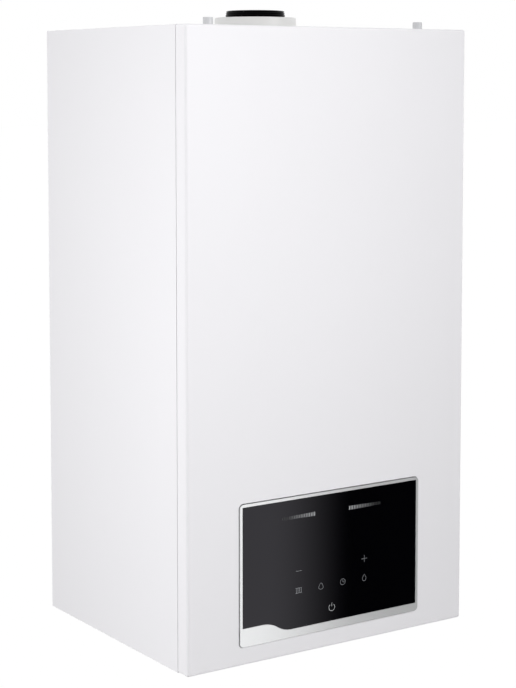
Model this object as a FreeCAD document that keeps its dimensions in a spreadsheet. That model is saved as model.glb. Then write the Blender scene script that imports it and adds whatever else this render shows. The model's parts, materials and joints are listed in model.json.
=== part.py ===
"""Wall-hung condensing gas boiler, built piece by piece.

Axes: X to the viewer's right, Y towards the wall, Z up. The wall is the plane y = 0 and the origin is the
middle of the wall bracket's two fixing holes. Lengths are in millimetres.
"""
import FreeCAD
import Part
import math
import os
import Sketcher
from FreeCAD import Placement, Rotation, Vector

SIZES = [
    ("case_width", 400, "casing, side to side"),
    ("case_depth", 328, "casing, wall to front face"),
    ("case_height", 730, "casing, top to bottom"),
    ("skin", 1, "sheet of the painted casing"),
    ("frame_sheet", 1.5, "sheet of the back and base plates"),
    ("fit", 0.3, "gap between pieces that stand side by side"),
    ("running", 0.05, "radial clearance of a turning or sliding pin"),
    ("fold", 12, "width of the folded edges"),
    ("cover_return", 20, "front cover, depth of its sides"),
    ("cover_tongue", 44, "front cover, depth of its top tongue"),
    ("cover_bend", 3, "front cover, outer radius of its edges"),
    ("corner_relief", 16, "front cover, tongue kept away from the sides"),
    ("seam_gap", 1, "gap between front cover and side panel"),
    ("window_width", 262, "front cover, panel window"),
    ("window_height", 168, "front cover, panel window"),
    ("window_bottom", 20.5, "front cover, window above the lower edge"),
    ("window_radius", 6, "front cover, window corners"),
    ("stud_inset", 49.5, "cover studs, from the casing side"),
    ("stud_setback", 32, "cover studs, from the front face"),
    ("stud_radius", 5.8, "cover studs, head"),
    ("stud_neck", 3.5, "cover studs, neck"),
    ("stud_height", 9, "cover studs, head above the casing"),
    ("screw_inset", 22, "cover screws, from the casing side"),
    ("screw_radius", 2.2, "cover screws, shank"),
    ("screw_head", 4.5, "cover screws, head radius"),
    ("screw_rise", 3, "cover screws, head height"),
    ("wall_gap", 13.5, "wall to back plate"),
    ("bracket_length", 300, "wall bracket"),
    ("bracket_height", 45, "wall bracket"),
    ("bracket_sheet", 3, "wall bracket"),
    ("hook_width", 40, "wall bracket, each hook"),
    ("hook_play", 3, "back plate, play of the slot at each side of a hook"),
    ("hook_spacing", 220, "wall bracket, between hooks"),
    ("hook_lip", 12, "wall bracket, height of the hook lip"),
    ("hook_drop", 38, "hook ledge below the casing top"),
    ("hole_drop", 23, "fixing holes below the hook ledge"),
    ("lift", 20, "rise that takes the boiler off its bracket"),
    ("wall_hole_spacing", 250, "wall bracket, between fixing holes"),
    ("wall_hole_radius", 4.5, "wall bracket, fixing holes"),
    ("base_height", 40, "base plate above the casing bottom"),
    ("base_setback", 78, "base plate behind the front face"),
    ("flue_setback", 167, "flue axis from the wall"),
    ("flue_bore", 30.25, "flue socket radius"),
    ("flue_wall", 2.75, "flue duct wall"),
    ("collar_radius", 50, "flue collar outside"),
    ("collar_wall", 3, "flue collar wall"),
    ("collar_height", 15, "flue collar above the casing"),
    ("collar_rim", 12, "flue collar, width of its foot"),
    ("seal_radius", 37.5, "flue seal outside"),
    ("seal_height", 8.5, "flue seal above the collar"),
    ("drum_height", 545, "heat exchanger axis above the casing bottom"),
    ("drum_radius", 112, "heat exchanger drum"),
    ("drum_wall", 4, "heat exchanger drum"),
    ("drum_back", 40, "heat exchanger drum from the wall"),
    ("drum_depth", 170, "heat exchanger drum"),
    ("drum_flange", 8, "heat exchanger drum, front flange"),
    ("drum_stub", 106, "coil ends, below the drum axis"),
    ("drum_foot", 125, "drum feet, below the drum axis"),
    ("coil_radius", 84, "coil, to the middle of its tube"),
    ("coil_tube", 8, "coil tube"),
    ("coil_wall", 1, "coil tube wall"),
    ("coil_pitch", 21, "coil"),
    ("coil_start", 15, "coil, first turn from the drum back"),
    ("shelf_width", 140, "drum shelf"),
    ("shelf_sheet", 2, "drum shelf"),
    ("shelf_fold", 55, "drum shelf, its upright"),
    ("door_sheet", 8, "burner door"),
    ("door_neck", 22, "burner door, neck length"),
    ("door_bolts", 108, "burner door, bolt circle radius"),
    ("mix_bore", 22, "mixing duct"),
    ("mix_wall", 3, "mixing duct"),
    ("mix_reach", 38, "mixing duct, forward of the door neck"),
    ("burner_radius", 36, "burner tube"),
    ("burner_length", 110, "burner tube"),
    ("lining_radius", 74, "door insulation"),
    ("lining_depth", 12, "door insulation"),
    ("electrode_offset", 45, "electrode, sideways and up from the door axis"),
    ("electrode_radius", 5, "electrode body"),
    ("fan_offset", 105, "fan axis right of the middle"),
    ("fan_drop", 120, "fan axis below the drum axis"),
    ("fan_radius", 62, "fan housing"),
    ("fan_depth", 54, "fan housing"),
    ("fan_wall", 4, "fan housing"),
    ("fan_wheel", 50, "fan wheel"),
    ("fan_outlet", 40, "fan outlet left of the fan axis"),
    ("fan_can", 34, "fan motor"),
    ("fan_can_depth", 17, "fan motor"),
    ("shaft", 4, "fan and pump shafts"),
    ("mixer_radius", 27, "venturi mixer"),
    ("mixer_length", 50, "venturi mixer"),
    ("mixer_throat", 15, "venturi mixer"),
    ("mixer_port", 28, "venturi gas port behind the fan"),
    ("valve_width", 66, "gas valve"),
    ("valve_depth", 54, "gas valve"),
    ("valve_height", 70, "gas valve"),
    ("valve_drop", 30, "gas valve outlet below the fan axis"),
    ("pipe", 9, "copper pipes"),
    ("pipe_wall", 1, "copper pipes"),
    ("port_setback", 120, "pipe connections from the wall"),
    ("port_pitch", 65, "pipe connections, side by side"),
    ("port_end", 6, "pipe connections above the casing bottom"),
    ("port_thread", 20, "pipe connections, thread length"),
    ("large_thread", 13.2, "three-quarter-inch pipe thread"),
    ("small_thread", 10.5, "half-inch pipe thread"),
    ("port_collar", 4, "pipe connections, collar beyond the thread"),
    ("block_radius", 20, "water blocks, main barrel"),
    ("block_height", 44, "water blocks, barrel above the base plate"),
    ("plate_seat", 88, "plate exchanger above the base plate"),
    ("plate_width", 192, "plate exchanger"),
    ("plate_depth", 55, "plate exchanger"),
    ("plate_height", 74, "plate exchanger"),
    ("plate_front", 96, "plate exchanger front from the wall"),
    ("plate_lip", 2, "plate exchanger, rims of the plates"),
    ("pump_side", 122, "pump right of the middle"),
    ("pump_height", 145, "pump axis above the base plate"),
    ("pump_radius", 45, "pump housing"),
    ("pump_bore", 35, "pump chamber"),
    ("pump_depth", 50, "pump housing"),
    ("pump_back", 100, "pump housing back from the wall"),
    ("pump_can", 40, "pump motor"),
    ("pump_can_depth", 84, "pump motor"),
    ("diverter_bore", 9, "diverter chamber"),
    ("diverter_travel", 6, "diverter stem"),
    ("relief_knob", 15, "safety valve knob"),
    ("relief_gap", 6, "safety valve, from the flow block to the valve seat"),
    ("relief_spout", 13.8, "safety valve, outlet in front of the seat"),
    ("tap_forward", 25, "taps forward of the pipe connections"),
    ("tap_stem", 5, "tap stems"),
    ("tap_knob", 13, "filling knob"),
    ("vessel_depth", 78, "expansion vessel"),
    ("vessel_width", 250, "expansion vessel"),
    ("vessel_height", 390, "expansion vessel"),
    ("vessel_base", 300, "expansion vessel above the casing bottom"),
    ("vessel_wall", 1.5, "expansion vessel"),
    ("vessel_corner", 45, "expansion vessel"),
    ("hose", 8, "vessel and condensate hoses"),
    ("hose_wall", 2, "vessel and condensate hoses"),
    ("trap_radius", 30, "condensate trap"),
    ("trap_wall", 2.5, "condensate trap"),
    ("trap_height", 190, "condensate trap above the base plate"),
    ("trap_side", 14, "condensate trap left of the middle"),
    ("trap_forward", 205, "condensate trap from the wall"),
    ("trap_drain", 48, "condensate outlet behind the trap axis"),
    ("drain_radius", 11, "condensate outlet"),
    ("box_width", 330, "control tray"),
    ("box_height", 182, "control tray"),
    ("box_bottom", 14, "control tray above the casing bottom"),
    ("box_depth", 58, "control tray"),
    ("box_setback", 10, "control tray behind the front face"),
    ("box_wall", 2.5, "control tray"),
    ("hinge_setback", 28, "control hinge behind the front face"),
    ("hinge_height", 20, "control hinge above the casing bottom"),
    ("hinge_pin", 4, "control hinge"),
    ("hinge_plate", 2, "control hinge brackets"),
    ("bezel_gap", 1, "gap round the bezel"),
    ("bezel_proud", 1.5, "bezel in front of the cover"),
    ("bezel_rim", 3.5, "bezel, sides and top"),
    ("chin_low", 10, "bezel, lower edge at the right"),
    ("chin_step", 12, "bezel, rise of the lower edge to the left"),
    ("step_start", 28, "bezel, flat part left of the wave"),
    ("step_run", 40, "bezel, length of the wave"),
    ("glass_sheet", 2.5, "touch glass"),
    ("board_sheet", 1.6, "circuit boards"),
    ("grommet", 9, "cable grommets"),
]

DOOR_NUTS = 6
FAN_BLADES = 9
PUMP_VANES = 6
COIL_TURNS = 6.5
PLATE_RIMS = 9

doc = FreeCAD.newDocument("boiler")
sheet = doc.addObject("Spreadsheet::Sheet", "Sizes")
for row, (alias, value, meaning) in enumerate(SIZES, 1):
    sheet.set(f"A{row}", meaning)
    sheet.set(f"B{row}", str(value))
    sheet.setAlias(f"B{row}", alias)
doc.recompute()
pieces = []


class Dim:
    """A length that keeps its number and the expression it follows from."""

    def __init__(self, value, text):
        self.value = float(value)
        self.text = text

    def __add__(self, other):
        other = dim(other)
        return Dim(self.value + other.value, f"({self.text} + {other.text})")

    def __sub__(self, other):
        other = dim(other)
        return Dim(self.value - other.value, f"({self.text} - {other.text})")

    def __mul__(self, other):
        other = dim(other)
        return Dim(self.value * other.value, f"({self.text} * {other.text})")

    def __truediv__(self, other):
        other = dim(other)
        return Dim(self.value / other.value, f"({self.text} / {other.text})")

    def __neg__(self):
        return Dim(-self.value, f"(0 - {self.text})")

    def __radd__(self, other):
        return dim(other) + self

    def __rsub__(self, other):
        return dim(other) - self

    def __rmul__(self, other):
        return dim(other) * self


def dim(value):
    return value if isinstance(value, Dim) else Dim(value, f"({value})")


def size(alias):
    return Dim(getattr(sheet, alias), f"Sizes.{alias}")


def bind(thing, name, value):
    thing.setExpression(name, dim(value).text)


# Outlines: a loop is a list of corners, and a corner with a third value starts an arc of that radius,
# which bulges to the left of the way along the loop if it is positive and to the right if negative.

def rectangle(across, up):
    return [(across[0], up[0]), (across[1], up[0]), (across[1], up[1]), (across[0], up[1])]


def rounded(across, up, radius):
    (left, right), (low, high) = across, up
    bulge = -radius
    return [
        (left + radius, low), (right - radius, low, bulge), (right, low + radius),
        (right, high - radius, bulge), (right - radius, high), (left + radius, high, bulge),
        (left, high - radius), (left, low + radius, bulge),
    ]


class Disc:
    def __init__(self, across, up, radius):
        self.across, self.up, self.radius = dim(across), dim(up), dim(radius)


TURNS = {
    "z": Rotation(),
    "-z": Rotation(Vector(1, 0, 0), 180),
    "y": Rotation(Vector(1, 0, 0), -90),
    "-y": Rotation(Vector(1, 0, 0), 90),
    "x": Rotation(Vector(0, 1, 0), 90),
}
NORMALS = {"XY": 1, "XZ": -1, "YZ": 1}


class Piece:
    """One body, drawn in its own axes and placed where it stands."""

    def __init__(self, label, at=(0, 0, 0), along="z", keep=True):
        self.body = doc.addObject("PartDesign::Body", label)
        self.body.Label = label
        self.body.AllowCompound = True
        self.body.Placement = Placement(Vector(), TURNS[along])
        for axis, place in zip("xyz", at):
            bind(self.body, f"Placement.Base.{axis}", place)
        if keep:
            pieces.append(self.body)

    def role(self, role):
        return next(item for item in self.body.Origin.OriginFeatures if item.Role == role)

    def sketch(self, plane, loops, offset):
        sketch = self.body.newObject("Sketcher::SketchObject", "Outline")
        sketch.AttachmentSupport = [(self.role(plane + "_Plane"), "")]
        sketch.MapMode = "FlatFace"
        bind(sketch, "AttachmentOffset.Base.z", offset)
        for loop in loops:
            if isinstance(loop, Disc):
                draw_disc(sketch, loop)
            else:
                draw_loop(sketch, loop)
        return sketch

    def feature(self, kind, profile):
        feature = self.body.newObject("PartDesign::" + kind, kind)
        feature.Profile = profile
        return feature

    def pad(self, plane, loops, low, high):
        start = dim(low) if NORMALS[plane] > 0 else -dim(high)
        feature = self.feature("Pad", self.sketch(plane, loops, start))
        bind(feature, "Length", dim(high) - low)
        return feature

    def pocket(self, plane, loops, low, high):
        start = dim(high) if NORMALS[plane] > 0 else -dim(low)
        feature = self.feature("Pocket", self.sketch(plane, loops, start))
        bind(feature, "Length", dim(high) - low)
        return feature

    def turn(self, loop):
        sketch = self.sketch("XZ", [loop], 0)
        feature = self.feature("Revolution", sketch)
        feature.ReferenceAxis = (sketch, ["V_Axis"])
        feature.Angle = 360
        return feature

    def fillet(self, radius, wanted):
        doc.recompute()
        base = self.body.Tip
        names = [f"Edge{n}" for n, edge in enumerate(base.Shape.Edges, 1) if wanted(edge.BoundBox)]
        feature = self.body.newObject("PartDesign::Fillet", "Fillet")
        feature.Base = (base, names)
        bind(feature, "Radius", radius)

    def polar(self, feature, count):
        pattern = self.body.newObject("PartDesign::PolarPattern", "Pattern")
        pattern.Originals = [feature]
        pattern.Axis = (self.role("Z_Axis"), [""])
        pattern.Angle = 360
        pattern.Occurrences = int(count)
        self.body.Tip = pattern

    def row(self, feature, axis, length, count):
        pattern = self.body.newObject("PartDesign::LinearPattern", "Pattern")
        pattern.Originals = [feature]
        pattern.Direction = (self.role(axis + "_Axis"), [""])
        bind(pattern, "Length", length)
        pattern.Occurrences = int(count)
        self.body.Tip = pattern

    def tray(self, plane, across, up, low, high, wall, floor):
        """A folded sheet: a flat floor on the low or high side, with a folded edge all round."""
        self.pad(plane, [rectangle(across, up)], low, high)
        inner = rectangle((across[0] + wall, across[1] - wall), (up[0] + wall, up[1] - wall))
        if floor == "low":
            self.cut_from(plane, inner, low + wall, high, 1)
        else:
            self.cut_from(plane, inner, low, high - wall, -1)

    def cut_from(self, plane, loop, low, high, side):
        """Cut a loop away between low and high, starting from the high side or from the low side."""
        start = high if side > 0 else low
        feature = self.feature("Pocket", self.sketch(plane, [loop], start if NORMALS[plane] > 0 else -start))
        bind(feature, "Length", high - low)
        feature.Reversed = (side * NORMALS[plane]) < 0
        return feature


def draw_disc(sketch, disc):
    circle = Part.Circle(Vector(disc.across.value, disc.up.value, 0), Vector(0, 0, 1), disc.radius.value)
    index = sketch.addGeometry(circle, False)
    limit(sketch, Sketcher.Constraint("Radius", index, disc.radius.value), disc.radius)
    pin_down(sketch, index, 3, disc.across, disc.up)


def draw_loop(sketch, loop):
    corners = [(dim(c[0]), dim(c[1]), c[2] if len(c) > 2 else None) for c in loop]
    ends = []
    for place, (x, y, radius) in enumerate(corners):
        to_x, to_y, unused = corners[(place + 1) % len(corners)]
        start, end = Vector(x.value, y.value, 0), Vector(to_x.value, to_y.value, 0)
        if radius is None:
            ends.append((sketch.addGeometry(Part.LineSegment(start, end), False), 1, 2))
        else:
            ends.append(draw_arc(sketch, start, end, dim(radius)))
    for place, (index, first, last) in enumerate(ends):
        after, after_first, unused = ends[(place + 1) % len(ends)]
        sketch.addConstraint(Sketcher.Constraint("Coincident", index, last, after, after_first))
        pin_down(sketch, index, first, corners[place][0], corners[place][1])


def draw_arc(sketch, start, end, radius):
    chord = end - start
    middle = (start + end) * 0.5
    left = Vector(-chord.y, chord.x, 0).normalize()
    side = 1 if radius.value > 0 else -1
    reach = abs(radius.value)
    inset = math.sqrt(max(reach ** 2 - (chord.Length / 2) ** 2, 0))
    centre = middle - left * (inset * side)
    first, last = (end, start) if side > 0 else (start, end)
    angles = [math.atan2(p.y - centre.y, p.x - centre.x) for p in (first, last)]
    circle = Part.Circle(centre, Vector(0, 0, 1), reach)
    index = sketch.addGeometry(Part.ArcOfCircle(circle, angles[0], angles[1]), False)
    limit(sketch, Sketcher.Constraint("Radius", index, reach), radius if side > 0 else -radius)
    return (index, 2, 1) if side > 0 else (index, 1, 2)


def limit(sketch, constraint, value):
    index = sketch.addConstraint(constraint)
    bind(sketch, f"Constraints[{index}]", value)


def pin_down(sketch, index, point, x, y):
    for kind, value in (("DistanceX", x), ("DistanceY", y)):
        limit(sketch, Sketcher.Constraint(kind, -1, 1, index, point, value.value), value)


def place(*point):
    return Vector(*[dim(value).value for value in point])


def route(points, bend):
    """A wire of straight runs, with an arc of the bend radius at each corner."""
    edges = []
    at = points[0]
    for before, corner, after in zip(points, points[1:], points[2:]):
        back = (before - corner).normalize()
        ahead = (after - corner).normalize()
        half = back.getAngle(ahead) / 2
        run = bend / math.tan(half)
        middle = corner + (back + ahead).normalize() * (bend / math.sin(half) - bend)
        edges.append(Part.makeLine(at, corner + back * run))
        edges.append(Part.Arc(corner + back * run, middle, corner + ahead * run).toShape())
        at = corner + ahead * run
    edges.append(Part.makeLine(at, points[-1]))
    return Part.Wire(edges)


def hollow_sweep(wire, start, heading, outer, inner):
    walls = []
    for radius in (outer, inner):
        ring = Part.Wire([Part.makeCircle(radius, start, heading)])
        walls.append(wire.makePipeShell([ring], True, False))
    return walls[0].cut(walls[1])


def keep_shape(label, shape):
    feature = doc.addObject("Part::Feature", label)
    feature.Label = label
    feature.Shape = shape
    pieces.append(feature)


def tube(label, points, bend, outer, wall):
    spots = [place(*point) for point in points]
    shape = hollow_sweep(route(spots, bend.value), spots[0], spots[1] - spots[0],
                         outer.value, outer.value - wall.value)
    keep_shape(label, shape)


def in_plane(axis, value):
    """Tell whether an edge's box lies flat in the plane where that axis has that value."""
    spot = dim(value).value

    def wanted(box):
        low, high = getattr(box, axis + "Min"), getattr(box, axis + "Max")
        return abs(low - spot) < 1e-4 and abs(high - spot) < 1e-4
    return wanted


def runs_along(axis):
    """Tell whether an edge's box is a straight line along that axis."""
    others = [name for name in "XYZ" if name != axis]

    def wanted(box):
        return all(getattr(box, name + "Length") < 1e-4 for name in others)
    return wanted


S = {alias: size(alias) for alias, value, meaning in SIZES}
skin, fit, running, fold = S["skin"], S["fit"], S["running"], S["fold"]
half = S["case_width"] / 2
front = -S["case_depth"]
ledge = S["hole_drop"]
top = S["hook_drop"] + S["hole_drop"]
bottom = top - S["case_height"]
seam = front + S["cover_return"] + S["seam_gap"]
back_face = -(S["wall_gap"] + S["frame_sheet"])
deck = bottom + S["base_height"] + S["frame_sheet"]
flue_y = -S["flue_setback"]
drum_z = bottom + S["drum_height"]
drum_front = -(S["drum_back"] + S["drum_depth"])
ports_y = -S["port_setback"]
block_z = deck + S["block_height"]


def both(*loops):
    """The loops and their mirror images left to right."""
    return list(loops) + [[(-c[0], *c[1:]) for c in loop] for loop in loops]


def wall_bracket():
    piece = Piece("wall_bracket")
    length, plate = S["bracket_length"], S["bracket_sheet"]
    rail = rectangle((-length / 2, length / 2), (ledge - S["bracket_height"], ledge))
    piece.pad("XZ", [rail], -plate, dim(0))
    outside = back_face - fit
    profile = [(-plate, ledge - plate), (-plate, ledge), (outside, ledge), (outside, ledge + S["hook_lip"]),
               (outside - plate, ledge + S["hook_lip"]), (outside - plate, ledge - plate)]
    for side in (-1, 1):
        middle = S["hook_spacing"] / 2 * side
        piece.pad("YZ", [profile], middle - S["hook_width"] / 2, middle + S["hook_width"] / 2)
    hole = S["wall_hole_spacing"] / 2
    piece.pocket("XZ", [Disc(-hole, 0, S["wall_hole_radius"]), Disc(hole, 0, S["wall_hole_radius"])],
                 -plate, dim(0))


def back_plate():
    piece = Piece("back_plate")
    plate = S["frame_sheet"]
    side = half - (skin + fit) * 2
    low, high = bottom + skin + fit, top - (skin + fit) * 2
    piece.tray("XZ", (-side, side), (low, high), back_face, back_face + fold, plate, "low")
    middle, reach = S["hook_spacing"] / 2, S["hook_width"] / 2 + S["hook_play"]
    slot = rectangle((middle - reach, middle + reach), (ledge - S["lift"] - S["bracket_sheet"] * 2, ledge))
    piece.pocket("XZ", both(slot), back_face, back_face + plate)


def base_plate():
    piece = Piece("base_plate")
    side = half - skin - fit
    edge = front + S["base_setback"]
    low = bottom + S["base_height"]
    piece.tray("XY", (-side, side), (edge, back_face - fit), low, low + fold, S["frame_sheet"], "low")
    large, small = S["large_thread"] + fit * 3, S["small_thread"] + fit * 3
    pitch = S["port_pitch"]
    holes = [Disc(pitch * n, ports_y, small if n in (-1, 1) else large) for n in (-2, -1, 0, 1, 2)]
    tap_y = ports_y - S["tap_forward"]
    holes += [Disc(pitch * 1.5 * n, tap_y, S["tap_stem"] + fit * 3) for n in (-1, 1)]
    trap_x, trap_y = -S["trap_side"], -S["trap_forward"]
    holes += [Disc(trap_x, trap_y, S["trap_radius"] + fit * 3),
              Disc(trap_x, trap_y + S["trap_drain"], S["drain_radius"] + skin + fit)]
    holes += [Disc(-pitch, relief_y() - S["relief_spout"], S["hose"] + fit * 3)]
    holes += [Disc(grommet_x(), grommet_y() + S["grommet"] * 4 * n, S["grommet"] + fit) for n in (0, 1)]
    piece.pocket("XY", holes, low, low + S["frame_sheet"])


def relief_y():
    return ports_y - S["block_radius"] - S["relief_gap"]


def grommet_x():
    return -(half - S["grommet"] * 3)


def grommet_y():
    return front + S["base_setback"] + S["grommet"] * 4


def top_plate():
    piece = Piece("top_plate")
    side = half - skin - fit
    high = top - skin - fit
    piece.tray("XY", (-side, side), (seam + skin + fit, -skin - fit), high - fold, high, skin, "high")
    stud_x, stud_y = half - S["stud_inset"], front + S["stud_setback"]
    hole = S["stud_neck"] - skin + fit
    piece.pocket("XY", [Disc(0, flue_y, S["collar_radius"] - S["collar_wall"]), Disc(stud_x, stud_y, hole),
                        Disc(-stud_x, stud_y, hole)], high - skin, high)


def side_panels():
    for label, hand in (("left_side_panel", -1), ("right_side_panel", 1)):
        piece = Piece(label)
        outer, inner = half * hand, (half - fold) * hand
        low, high = (outer, inner) if hand < 0 else (inner, outer)
        piece.tray("YZ", (seam, dim(0)), (bottom, top), low, high, skin, "low" if hand < 0 else "high")
        lug = bottom + skin + fit
        reach = half - S["screw_inset"] - fold
        sides = (reach, half - skin / 2) if hand > 0 else (skin / 2 - half, -reach)
        screw_x = (half - S["screw_inset"]) * hand
        slot = S["screw_radius"] + fit
        piece.pad("XY", [rectangle(sides, (seam, seam + fold * 2))], lug, lug + skin)
        piece.pocket("XY", [rectangle((screw_x - slot, screw_x + slot), (seam, seam + fold + slot))],
                     lug, lug + skin)


def front_cover():
    piece = Piece("front_cover")
    bend = S["cover_bend"]
    back = front + S["cover_return"]
    piece.pad("XZ", [rectangle((-half, half), (bottom, top))], front, back)
    piece.fillet(bend, runs_along("Y"))
    piece.fillet(bend, in_plane("Y", front))
    inner = rounded((skin - half, half - skin), (bottom + skin, top - skin), bend - skin)
    piece.cut_from("XZ", inner, front + skin, back, 1)
    piece.fillet(bend - skin, in_plane("Y", front + skin))
    across = S["window_width"] / 2
    low = bottom + S["window_bottom"]
    window = rounded((-across, across), (low, low + S["window_height"]), S["window_radius"])
    piece.pocket("XZ", [window], front, front + skin)
    tongue = half - S["corner_relief"]
    rear = front + S["cover_tongue"]
    piece.pad("XY", [rectangle((-tongue, tongue), (back - skin, rear))], top - skin, top)
    stud_x, stud_y = half - S["stud_inset"], front + S["stud_setback"]
    slot = S["stud_neck"] + fit
    notch = [(stud_x + slot, rear), (stud_x - slot, rear), (stud_x - slot, stud_y - slot),
             (stud_x + slot, stud_y - slot)]
    piece.pocket("XY", both(notch), top - skin, top)
    screw_x, screw_y = half - S["screw_inset"], seam + fold
    tab = rectangle((screw_x - fold / 2, screw_x + fold / 2), (back - skin, screw_y + fold / 2))
    piece.pad("XY", both(tab), bottom, bottom + skin)
    hole = S["screw_radius"] + fit
    piece.pocket("XY", [Disc(screw_x, screw_y, hole), Disc(-screw_x, screw_y, hole)], bottom, bottom + skin)


def cover_fixings():
    spacing = S["case_width"] - S["screw_inset"] * 2
    screws = Piece("cover_screws", (-spacing / 2, seam + fold, bottom))
    head, shank, rise = S["screw_head"], S["screw_radius"], S["screw_rise"]
    screw = screws.turn([(0, -rise), (head, -rise), (head, 0), (shank, 0), (shank, fold), (0, fold)])
    screws.row(screw, "X", spacing, 2)
    spacing = S["case_width"] - S["stud_inset"] * 2
    plate = top - skin - fit
    studs = Piece("cover_studs", (-spacing / 2, front + S["stud_setback"], plate))
    neck, head, rise = S["stud_neck"], S["stud_radius"], S["stud_height"] + skin + fit
    shank, under = neck - skin, skin + fit * 2
    edge = skin / 2
    stud = studs.turn([(0, -fold / 2), (shank, -fold / 2), (shank, 0), (neck, 0), (neck, under),
                       (head, under), (head, rise - edge), (head - edge, rise), (0, rise)])
    studs.row(stud, "X", spacing, 2)


def cover_seal():
    piece = Piece("cover_seal")
    outer, inner = half - skin * 3, half - fold + skin
    high = top - skin * 3
    strip = [(-outer, bottom + fold * 2), (-inner, bottom + fold * 2), (-inner, high - fold + skin * 4),
             (inner, high - fold + skin * 4), (inner, bottom + fold * 2), (outer, bottom + fold * 2),
             (outer, high), (-outer, high)]
    piece.pad("XZ", [strip], seam - fold / 2, seam)


def flue():
    plate = top - skin - fit
    radius, wall = S["collar_radius"], S["collar_wall"]
    duct = S["flue_bore"] + S["flue_wall"]
    rise = S["collar_height"] + skin + fit
    collar = Piece("flue_collar", (0, flue_y, plate))
    web = duct + fit + wall
    foot = radius + S["collar_rim"]
    collar.turn([(radius - wall, 0), (foot, 0), (foot, wall), (radius, wall), (radius, rise - skin),
                 (radius - skin, rise), (radius - wall, rise)])
    collar.pad("XY", [Disc(0, 0, web), Disc(0, 0, duct + fit)], wall, rise - wall)
    spoke = collar.pad("XY", [rectangle((web - skin / 2, radius - wall / 2), (-wall / 2, wall / 2))],
                       wall, rise - wall * 2)
    collar.polar(spoke, 4)
    outlet = drum_z + S["drum_radius"] + skin * 3
    pipe = Piece("flue_duct", (0, flue_y, outlet))
    length = plate + rise - wall - outlet
    pipe.turn([(S["flue_bore"], 0), (duct, 0), (duct, length), (S["flue_bore"], length)])
    ring = Piece("flue_seal", (0, flue_y, plate + rise - wall))
    tall = S["seal_height"] + wall
    outer, lip = S["seal_radius"], S["flue_bore"] + fit
    groove = skin / 2
    ring.turn([(lip, 0), (outer, 0), (outer, tall / 3), (outer - groove, tall / 3 + groove),
               (outer, tall / 3 + groove * 2), (outer - groove, tall - skin * 2), (outer - skin * 2, tall),
               (lip, tall)])


def drum():
    piece = Piece("exchanger_drum", (0, -S["drum_back"], drum_z), "-y")
    radius, wall, depth, flange = S["drum_radius"], S["drum_wall"], S["drum_depth"], S["drum_flange"]
    inside = radius - wall
    piece.turn([(0, 0), (radius, 0), (radius, depth - flange), (radius + flange, depth - flange),
                (radius + flange, depth), (inside, depth), (inside, wall), (0, wall)])
    coil, tube_r = S["coil_radius"], S["coil_tube"]
    rib = piece.pad("XY", [rectangle((coil + tube_r + fit, inside + skin), (-wall / 2, wall / 2))],
                    wall, depth - wall * 5)
    piece.polar(rib, 4)
    stub = S["drum_stub"]
    run = S["coil_pitch"] * COIL_TURNS
    boss = tube_r + skin * 3
    ends = [(coil, S["coil_start"]), (-coil, S["coil_start"] + run)]
    piece.pad("XZ", [Disc(x, z, boss) for x, z in ends], -stub, -stub / 2)
    duct = S["flue_bore"] + S["flue_wall"]
    flue_z = S["flue_setback"] - S["drum_back"]
    rise = radius + skin * 15
    piece.pad("XZ", [Disc(0, flue_z, duct + skin * 3)], inside - skin * 8, rise)
    drip = depth - flange * 2
    piece.pad("XZ", [Disc(0, drip, S["hose"] + skin)], -S["drum_foot"], -inside)
    foot = S["shelf_width"] / 4
    feet = [rectangle((side * foot - flange, side * foot + flange), (flange * 3, depth - flange * 8))
            for side in (-1, 1)]
    piece.pad("XZ", feet, -S["drum_foot"], -(inside - skin * 7))
    piece.pocket("XZ", [Disc(x, z, tube_r + fit) for x, z in ends], -stub, -stub / 2)
    piece.pocket("XZ", [Disc(0, flue_z, duct + fit)], inside - skin * 12, rise)
    piece.pocket("XZ", [Disc(0, drip, S["hose"] - S["hose_wall"])], -S["drum_foot"], -(inside - skin))


def coil():
    """One unbroken tube: a straight leg up, the turns, and a straight leg down."""
    radius, pitch = S["coil_radius"].value, S["coil_pitch"].value
    start_y = -(S["drum_back"] + S["coil_start"]).value
    low = (drum_z - S["drum_stub"]).value
    axis = drum_z.value
    quarters = int(COIL_TURNS * 4)
    spots, headings = [], []
    for step in range(quarters + 1):
        angle = math.pi / 2 * step
        fall = pitch / (2 * math.pi * radius) if 0 < step < quarters else 0
        spots.append(Vector(radius * math.cos(angle), start_y - pitch * step / 4,
                            axis + radius * math.sin(angle)))
        headings.append(Vector(-math.sin(angle), -fall, math.cos(angle)).normalize())
    first = Vector(spots[0].x, spots[0].y, low)
    last = Vector(spots[-1].x, spots[-1].y, low)
    edges = [Part.makeLine(first, spots[0])]
    for step in range(quarters):
        edges += biarc(spots[step], headings[step], spots[step + 1], headings[step + 1])
    edges.append(Part.makeLine(spots[-1], last))
    outer = S["coil_tube"].value
    wire = Part.Wire(edges)
    bore = outer - S["coil_wall"].value
    keep_shape("exchanger_coil", hollow_sweep(wire, first, Vector(0, 0, 1), outer, bore))


def biarc(start, heading, end, arrival):
    """Two arcs that leave along one heading, meet smoothly and arrive along the other."""
    span = end - start
    both_ways = heading + arrival
    square = 2 * (heading.dot(arrival) - 1)
    linear = -2 * span.dot(both_ways)
    reach = (-linear - math.sqrt(linear ** 2 - 4 * square * span.dot(span))) / (2 * square)
    reach = abs(reach)
    corner, other = start + heading * reach, end - arrival * reach
    meet = (corner + other) * 0.5
    return [arc_by_corner(start, corner, meet), arc_by_corner(meet, other, end)]


def arc_by_corner(start, corner, end):
    middle = (start + end) * 0.5
    chord = (end - start).Length
    rise = (corner - middle).Length
    bulge = chord / 2 * math.tan(math.atan2(rise, chord / 2) / 2)
    return Part.Arc(start, middle + (corner - middle).normalize() * bulge, end).toShape()


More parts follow.
